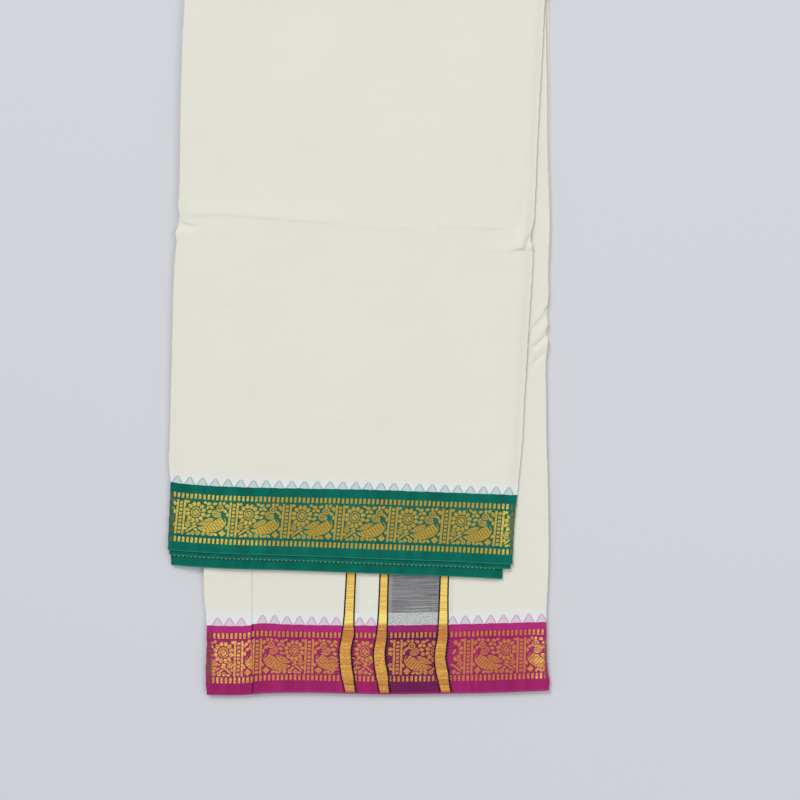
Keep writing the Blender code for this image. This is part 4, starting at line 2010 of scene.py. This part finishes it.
STRIPES = {
    "stripe_first": (
        StripeRow(-190.0, -7.2, 6.8), StripeRow(-234.6, -8.5, 6.9), StripeRow(-260.4, -9.7, 7.3),
        StripeRow(-283.4, -10.8, 8.5), StripeRow(-292.6, -11.3, 10.4), StripeRow(-298.1, -12.4, 10.1),
        StripeRow(-306.4, -14.0, 9.8), StripeRow(-315.6, -13.8, 10.0), StripeRow(-324.8, -12.9, 10.1),
        StripeRow(-332.1, -11.7, 10.4), StripeRow(-338.6, -10.6, 9.2), StripeRow(-346.4, -9.2, 8.7),
    ),
    "stripe_second": (
        StripeRow(-190.0, 23.0, 6.0), StripeRow(-235.5, 21.9, 6.2), StripeRow(-260.4, 21.1, 6.6),
        StripeRow(-283.4, 20.2, 7.7), StripeRow(-298.1, 18.9, 9.2), StripeRow(-306.4, 17.5, 9.4),
        StripeRow(-315.6, 17.5, 9.7), StripeRow(-324.8, 18.9, 10.1), StripeRow(-332.1, 20.2, 10.1),
        StripeRow(-338.6, 20.9, 8.7), StripeRow(-346.4, 22.3, 8.3),
    ),
    "stripe_third": (
        StripeRow(-190.0, 78.0, 6.0), StripeRow(-238.3, 77.0, 6.1), StripeRow(-260.4, 76.4, 6.5),
        StripeRow(-282.4, 75.9, 7.7), StripeRow(-297.2, 75.2, 8.7), StripeRow(-304.5, 74.0, 9.3),
        StripeRow(-315.6, 73.1, 9.4), StripeRow(-322.9, 74.1, 10.0), StripeRow(-330.3, 75.4, 10.1),
        StripeRow(-337.6, 76.6, 8.8), StripeRow(-346.4, 78.4, 8.3),
    ),
}


class TempleRow(NamedTuple):
    """A row of evenly spaced temples: the first one's x, their pitch in millimetres, and how many."""

    start: float
    pitch: float
    count: int


# Half of a temple from its foot towards its tip, as shares of its width and height.
TEMPLE_SIDE = ((0.5, 0.0), (0.43, 0.14), (0.33, 0.36), (0.2, 0.62), (0.07, 0.9))


@dataclass
class WovenFigures:
    """The figures of one border, raised on the layer that they are woven in.

    Attributes:
        name: The pieces' name.
        form: The strip.
        bands: Where the rows lie.
        on_flap: Whether the border is on the flap or on the pile.
        height: The height of the layer's upper side in the strip.
        reach: How far the layer's selvedge lies beyond the outline's, in metres.
        insets: How far the layer's sides lie inside the outline's, in millimetres.
        pillars: The x of the pillars' left sides at the selvedge, in millimetres.
        temple_rows: Its temples.
        temple_size: A temple's width and height, in millimetres.
        from_cut: Whether its left side is the cut end.
        right_end: The x where the layer above covers it, in millimetres, if one does.
        mirrored: Whether the bird stands left of the flower.
        pauses: Places where the figures pause for a stripe, and the width of each, in millimetres.
        stripes: The stripes that cover parts of it.
        raise_by: How far the thread stands above the ground.
        thread_share: The thread's thickness, as a share of that.
        margin: The bare edge along the layer's sides.
        stripe_margin: The bare edge along a stripe.
        figure_height: The height of the band of figures, in millimetres.
        pillar_width: A pillar's width, in millimetres.
        pillar_line: The width of each of its two lines, in millimetres.
        bead: The width and height of a square between them, in millimetres.
        bead_at: The first square's place inside the pillar, in millimetres.
        bead_pitch: The pitch of the squares, in millimetres.
        beads: How many squares a pillar has.
        dash_start: The x of the first dash, beyond the strip's left side, in millimetres.
        dash_count: How many dashes a row has.
        dash_pitch: The pitch of the dashes, in millimetres.
        dash_width: A dash's width, in millimetres.
        tip_line: The width of a temple's outline, in millimetres.
        tip_spread: The outline's place, as a share of the filling's half width.
        temple_lifts: How much further the filling and the outlines are raised.
    """

    name: str
    form: StripForm
    bands: BorderBands
    on_flap: bool
    height: float
    reach: float
    insets: tuple[float, float]
    pillars: tuple[float, ...]
    temple_rows: tuple[TempleRow, ...] = ()
    temple_size: tuple[float, float] = (10.2, 7.4)
    from_cut: bool = False
    right_end: float | None = None
    mirrored: bool = False
    pauses: tuple[tuple[float, float], ...] = ()
    stripes: tuple[WeftStripe, ...] = ()
    raise_by: float = 0.1 * MM
    thread_share: float = 0.8
    margin: float = 0.3 * MM
    stripe_margin: float = 0.5 * MM
    figure_height: float = 32.0
    pillar_width: float = 8.6
    pillar_line: float = 1.9
    bead: tuple[float, float] = (2.8, 2.3)
    bead_at: tuple[float, float] = (2.9, 0.8)
    bead_pitch: float = 3.45
    beads: int = 9
    dash_start: float = -200.0
    dash_count: int = 100
    dash_pitch: float = 3.96
    dash_width: float = 2.1
    tip_line: float = 0.95
    tip_spread: float = 0.92
    temple_lifts: tuple[float, float] = (0.02 * MM, 0.04 * MM)

    def along(self, up: Array) -> Array:
        """Distances along the strip of points at these distances from the selvedge."""
        return self.form.whole + self.reach - up if self.on_flap else up - self.reach

    def limits(self, up: Array) -> tuple[Array, Array]:
        """The x between which the layer shows.

        Args:
            up: Distances from the selvedge.

        Returns:
            The left and the right x at each.
        """
        along = self.along(up)
        left, right = self.form.sides(along, np.full(along.shape, self.from_cut))
        left, right = left + self.insets[0] * MM + self.margin, right - self.insets[1] * MM - self.margin
        return left, right if self.right_end is None else np.minimum(right, self.right_end * MM)

    def covered(self, x: Array, up: Array) -> Array:
        """Which points lie under a stripe.

        Args:
            x: The points' x.
            up: Their distances from the selvedge.

        Returns:
            Whether each is covered.
        """
        under = np.zeros(x.shape, bool)
        for stripe in self.stripes:
            middle, half = stripe.at(self.form.pile_end + self.along(up))
            under |= np.abs(x - middle) < half + self.stripe_margin
        return under

    def add_chart(self, chart: Chart, name: str, material: Material, lift: float = 0.0) -> Object:
        """Lays a chart on the cloth as one thin raised piece.

        Args:
            chart: The figures.
            name: The piece's name.
            material: Its finish.
            lift: How much further it is raised.

        Returns:
            The piece.
        """
        points = np.array(chart.points)
        up = points[:, 1] * MM
        x = (points[:, 0] + self.bands.lean * points[:, 1]) * MM
        left, right = self.limits(up)
        hidden = (x < left) | (x > right) | self.covered(x, up)
        faces = [face for face in chart.faces if not hidden[face].all()]
        used = np.unique(np.concatenate([np.array(face) for face in faces]))
        renumber = np.full(len(points), -1)
        renumber[used] = np.arange(len(used))
        x, up = np.clip(x, left, right)[used], up[used]
        height = self.height + (1 if self.on_flap else -1) * (self.raise_by + lift)
        places = self.form.point(x, self.along(up), height)
        cloth = np.stack([x, self.form.whole - up if self.on_flap else up], axis=-1)
        piece = mesh_object(name, places, [renumber[face].tolist() for face in faces], cloth, material)
        turn_up(piece)
        thicken(piece, "Thread", self.raise_by * self.thread_share)
        join_frame(piece)
        return piece

    def dashes(self) -> Chart:
        """Both rows of upright dashes, from beyond the strip's left side to beyond its right.

        Returns:
            A chart of them.
        """
        chart = Chart()
        for start, end in (self.bands.edge_dashes, self.bands.inner_dashes):
            for i in range(self.dash_count):
                chart.box(self.dash_start + i * self.dash_pitch, start, self.dash_width, end - start)
        return chart

    def pillar(self, chart: Chart, x: float) -> None:
        """Two upright lines with a column of squares between them.

        Args:
            chart: The chart that it is drawn on.
            x: Its left side's x.
        """
        bottom = self.bands.figures
        ups = np.linspace(bottom, bottom + self.figure_height, 5)
        for start in (x, x + self.pillar_width - self.pillar_line):
            left = np.stack([np.full(5, start), ups], axis=1)
            chart.ribbon(left, left + (self.pillar_line, 0))
        for i in range(self.beads):
            chart.box(x + self.bead_at[0], bottom + self.bead_at[1] + i * self.bead_pitch, *self.bead)

    def repeats(self) -> Chart:
        """The pillars, and the bird and flower between each two and beyond the outer ones.

        Returns:
            A chart of them.
        """
        chart = Chart()
        for x in self.pillars:
            self.pillar(chart, x)
        cell = BirdAndFlower()
        gaps = [b - a - self.pillar_width for a, b in zip(self.pillars, self.pillars[1:])]
        starts = [self.pillars[0] - cell.width - 0.1, *(x + self.pillar_width for x in self.pillars)]
        for start, width in zip(starts, [cell.width, *gaps, cell.width]):
            drawn = Chart()
            cell.draw(drawn)
            points = np.array(drawn.points) * (width / cell.width, 1.0)
            if self.mirrored:
                points[:, 0] = width - points[:, 0]
            chart.add(drawn, points + (start, self.bands.figures))
        return self.paused(chart)

    def paused(self, chart: Chart) -> Chart:
        """The chart with its figures moved past the stripes for which the pattern pauses.

        Args:
            chart: The chart.

        Returns:
            The same chart, changed.
        """
        points, figures = np.array(chart.points), np.array(chart.figures)
        middles = np.bincount(figures, points[:, 0]) / np.bincount(figures)
        for place, width in self.pauses:
            points[:, 0] += width * (middles > place)[figures]
        chart.points = [tuple(point) for point in points]
        return chart

    def gold(self, material: Material, slot: str, dashes_only: bool = False) -> Object:
        """All the gold figures as one piece.

        Args:
            material: Its finish.
            slot: The name of a material slot; not used.
            dashes_only: Whether only the rows of dashes are woven.

        Returns:
            The piece.
        """
        chart = self.dashes()
        if not dashes_only:
            figures = self.repeats()
            chart.add(figures, np.array(figures.points))
        return self.add_chart(chart, f"{self.name}_gold", material)

    def temples(self, body: Material, tips: Material) -> None:
        """The row of small triangles that the border sends into the ground.

        Args:
            body: The filling's finish.
            tips: The finish of the outlines.
        """
        width, height = self.temple_size
        filled, tipped = Chart(), Chart()
        base = self.bands.korvai + 0.1
        quarters = np.linspace(-1, 1, 5)
        for row in self.temple_rows:
            for i in range(row.count):
                x = row.start + i * row.pitch - self.bands.lean * base
                lines = [
                    np.array([(x + share * a * width, base + b * height) for a, b in (*TEMPLE_SIDE, (0, 1))])
                    for share in quarters
                ]
                for left, right in zip(lines, lines[1:]):
                    filled.ribbon(left, right)
                for spread in (-self.tip_spread, self.tip_spread):
                    line = [(x + spread * a * width, base + b * height) for a, b in TEMPLE_SIDE]
                    tipped.stroke(line, self.tip_line, 0.2)
        body_lift, tip_lift = self.temple_lifts
        self.add_chart(filled, f"{self.name}_temples", body, body_lift)
        self.add_chart(tipped, f"{self.name}_temple_tips", tips, tip_lift)


def turn_up(piece: Object) -> None:
    """Turns every face of a piece that lies flat so that it faces up.

    Args:
        piece: The piece.
    """
    mesh = piece.data
    normals = np.empty(len(mesh.polygons) * 3)
    mesh.polygons.foreach_get("normal", normals)
    for polygon, z in zip(mesh.polygons, normals.reshape(-1, 3)[:, 2]):
        if z < 0:
            polygon.flip()


@dataclass
class ClothLayers:
    """The whole pleated cloth: the outer layer, the inner two with the cut end, and those between.

    Attributes:
        form: The strip.
        white_by_green: The width of the whiter ground beside the green border.
        white_by_magenta: Its width beside the magenta border.
        white_at_end: Its width there on the layers with the cut end.
    """

    form: StripForm
    white_by_green: float = 9 * MM
    white_by_magenta: float = 10 * MM
    white_at_end: float = 12.5 * MM

    def build(self) -> None:
        """Builds every stretch of every layer."""
        form = self.form
        start, end = form.border + self.white_by_magenta, form.whole - form.border - self.white_by_green
        grounds = {
            "outer_layer": Cotton("cotton_outer", (start, end)),
            "inner_layer": Cotton("cotton_inner", (form.border + self.white_at_end, end), ends=True),
            "hidden_layers": Cotton("cotton_hidden", (start, end)),
        }
        green, magenta = GREEN_CLOTH.material(form.whole), MAGENTA_CLOTH.material(0.0)
        cloths = (
            PleatedCloth("outer_layer", form, 12, 12, FINE_STEP, tucks=(True, True)),
            PleatedCloth("inner_layer", form, 1, 2, FINE_STEP),
            PleatedCloth("hidden_layers", form, 3, 11, COARSE_STEP),
        )
        for cloth in cloths:
            cloth.build(Stretch.GROUND, grounds[cloth.name].material())
            cloth.build(Stretch.GREEN, green)
            cloth.build(Stretch.MAGENTA, magenta)


@dataclass
class Borders:
    """The gold figures and the temple rows of every border that shows.

    Attributes:
        form: The strip.
        green_bands: Where the green border's rows lie.
        magenta_bands: Where the magenta border's rows lie.
        green_pillars: The x of the green border's pillars, in millimetres.
        magenta_pillars: The x of the magenta border's pillars, in millimetres.
        magenta_temple: A mauve temple's width and height, in millimetres.
        flap_under: The layer whose selvedge shows under the flap's.
        under_insets: How far its sides lie inside the outline's, in millimetres.
        pile_under: The layer that shows beyond the cut end.
        under_right: Where the cut end covers it, in millimetres.
    """

    form: StripForm
    green_bands: BorderBands = BorderBands((8.7, 13.5), 15.7, (49.4, 54.1), 62.5, 0.096)
    magenta_bands: BorderBands = BorderBands((10.8, 15.9), 17.0, (51.0, 55.9), 62.4, 0.03)
    green_pillars: tuple[float, ...] = tuple(-172.4 + 48.6 * i for i in range(7))
    magenta_pillars: tuple[float, ...] = (-100.2, -52.4, -3.2, 45.4, 94.0)
    magenta_temple: tuple[float, float] = (10.6, 8.2)
    flap_under: int = 8
    under_insets: tuple[float, float] = (4.4, 14.2)
    pile_under: int = 2
    under_right: float = -98.6

    def build(self) -> None:
        """Builds the figures of the flap's two borders and the pile's two."""
        self.on_flap()
        self.on_pile()

    def on_flap(self) -> None:
        """The green border's gold and temples, and the dashes that show under its selvedge."""
        form, layer = self.form, self.flap_under
        top = WovenFigures(
            "flap_border", form, self.green_bands, True, form.thickness, 0.0, (0.0, 0.0), self.green_pillars,
            temple_rows=(TempleRow(-168.0, 11.68, 27),),
        )
        top.gold(GOLD_ON_GREEN.material(), "green_border")
        top.temples(TEMPLE_GREEN.material(), TEMPLE_TIP_GREEN.material())
        under = WovenFigures(
            "flap_under_border", form, self.green_bands, True, (layer - 1) * form.pitch + form.cloth,
            LAYERS[layer - 1].flap_reach * MM, self.under_insets, self.green_pillars, dash_width=1.4,
        )
        under.gold(SPECKS_ON_GREEN.material(), "green_border", dashes_only=True)

    def on_pile(self) -> None:
        """The magenta border's gold and temples, and those beyond the cut end."""
        form, layer = self.form, self.pile_under
        top = WovenFigures(
            "pile_border", form, self.magenta_bands, False, 0.0, 0.0, (0.0, 0.0), self.magenta_pillars,
            from_cut=True, mirrored=True, pauses=((-22.3, 15.9), (-6.8, 16.1), (36.8, 16.2)),
            stripes=tuple(WeftStripe(name, rows, form) for name, rows in STRIPES.items()),
            temple_rows=(TempleRow(-90.0, 11.3, 7), TempleRow(-0.9, 10.7, 2), TempleRow(84.5, 11.66, 8)),
            temple_size=self.magenta_temple,
        )
        under = WovenFigures(
            "pile_under_border", form, self.magenta_bands, False, (layer - 1) * form.pitch,
            LAYERS[layer - 1].pile_reach * MM, (0.0, 0.0), (-117.2,),
            mirrored=True, right_end=self.under_right,
            temple_rows=(TempleRow(-131.2, 10.9, 3),), temple_size=self.magenta_temple,
        )
        gold, mauve, tips = GOLD_ON_MAGENTA.material(), TEMPLE_MAUVE.material(), TEMPLE_TIP_MAUVE.material()
        for figures in (top, under):
            figures.gold(gold, "magenta_border")
            figures.temples(mauve, tips)


@dataclass
class ClothEnd:
    """The three gold stripes that are woven near the cloth's cut end.

    Attributes:
        form: The strip.
    """

    form: StripForm

    def build(self) -> None:
        """Builds each stripe on the ground and through the border."""
        gold, dull = STRIPE_GOLD.material(), STRIPE_GOLD_IN_BORDER.material()
        black = OUTLINE_YARN.material()
        for name, rows in STRIPES.items():
            stripe = WeftStripe(name, rows, self.form)
            stripe.band(f"{name}_on_ground", stripe.korvai_y, stripe.top_y, gold)
            stripe.band(f"{name}_in_border", stripe.end_y, stripe.korvai_y, dull)
            stripe.outlines(black)


class LightRow(NamedTuple):
    """A softbox: its name, its place and its side in metres, and its power in watts."""

    name: str
    place: tuple[float, float, float]
    size: float
    power: float


@dataclass
class Studio:
    """The floor, the lights and the camera straight above the cloth.

    Attributes:
        aim: The x and y that the camera looks at.
        camera_height: The camera's height.
        lens: Its focal length in millimetres.
        lights: The softboxes.
        floor_size: The floor's side.
        floor_drop: How far the floor lies below the cloth.
        sky: The colour of the light from all round.
        sky_strength: Its strength.
    """

    aim: tuple[float, float] = (36.97 * MM, -76.5 * MM)
    camera_height: float = 1.738
    lens: float = 85.0
    lights: tuple[LightRow, ...] = (
        LightRow("key_light", (-2.0, 3.7, 4.8), 3.0, 204.0),
        LightRow("fill_light", (1.9, -0.5, 2.8), 1.8, 23.0),
        LightRow("top_light", (-0.1, -0.3, 2.6), 1.6, 5.4),
    )
    floor_size: float = 12.0
    floor_drop: float = 0.15 * MM
    sky: Colour = (0.9, 0.93, 0.99, 1.0)
    sky_strength: float = 0.42

    def build(self) -> None:
        """Builds them all."""
        self.floor()
        self.camera()
        for row in self.lights:
            self.light(row)
        world = bpy.data.worlds.new("studio_world")
        world.use_nodes = True
        world.node_tree.nodes["Background"].inputs["Color"].default_value = self.sky
        world.node_tree.nodes["Background"].inputs["Strength"].default_value = self.sky_strength
        bpy.context.scene.world = world
        bpy.context.scene.view_settings.view_transform = "Standard"

    def floor(self) -> None:
        """A wide pale floor."""
        bpy.ops.mesh.primitive_plane_add(size=self.floor_size, location=(0, 0, -self.floor_drop))
        floor = bpy.context.active_object
        floor.name = "floor"
        made = Shading("floor_paint", roughness=0.75)
        made.shader.inputs["Base Color"].default_value = linear(214, 215, 218)
        floor.data.materials.append(made.material)

    def camera(self) -> None:
        """The camera, looking straight down."""
        data = bpy.data.cameras.new("camera")
        data.lens = self.lens
        data.clip_start = 0.05
        camera = bpy.data.objects.new("camera", data)
        camera.location = (*self.aim, self.camera_height)
        bpy.context.scene.collection.objects.link(camera)
        bpy.context.scene.camera = camera

    def light(self, row: LightRow) -> None:
        """A square softbox aimed at the cloth.

        Args:
            row: The light's sizes.
        """
        data = bpy.data.lights.new(row.name, "AREA")
        data.shape = "SQUARE"
        data.size = row.size
        data.energy = row.power
        light = bpy.data.objects.new(row.name, data)
        light.location = row.place
        light.rotation_euler = (-Vector(row.place)).to_track_quat("-Z", "Y").to_euler()
        bpy.context.scene.collection.objects.link(light)


def main() -> None:
    """Builds the cloth, its figures, its stripes and the studio, in that order."""
    logging.basicConfig(level=logging.INFO, format="%(name)s %(message)s")
    form = strip_from_frame()
    Studio().build()
    ClothLayers(form).build()
    Borders(form).build()
    ClothEnd(form).build()


if __name__ == "__main__":
    main()
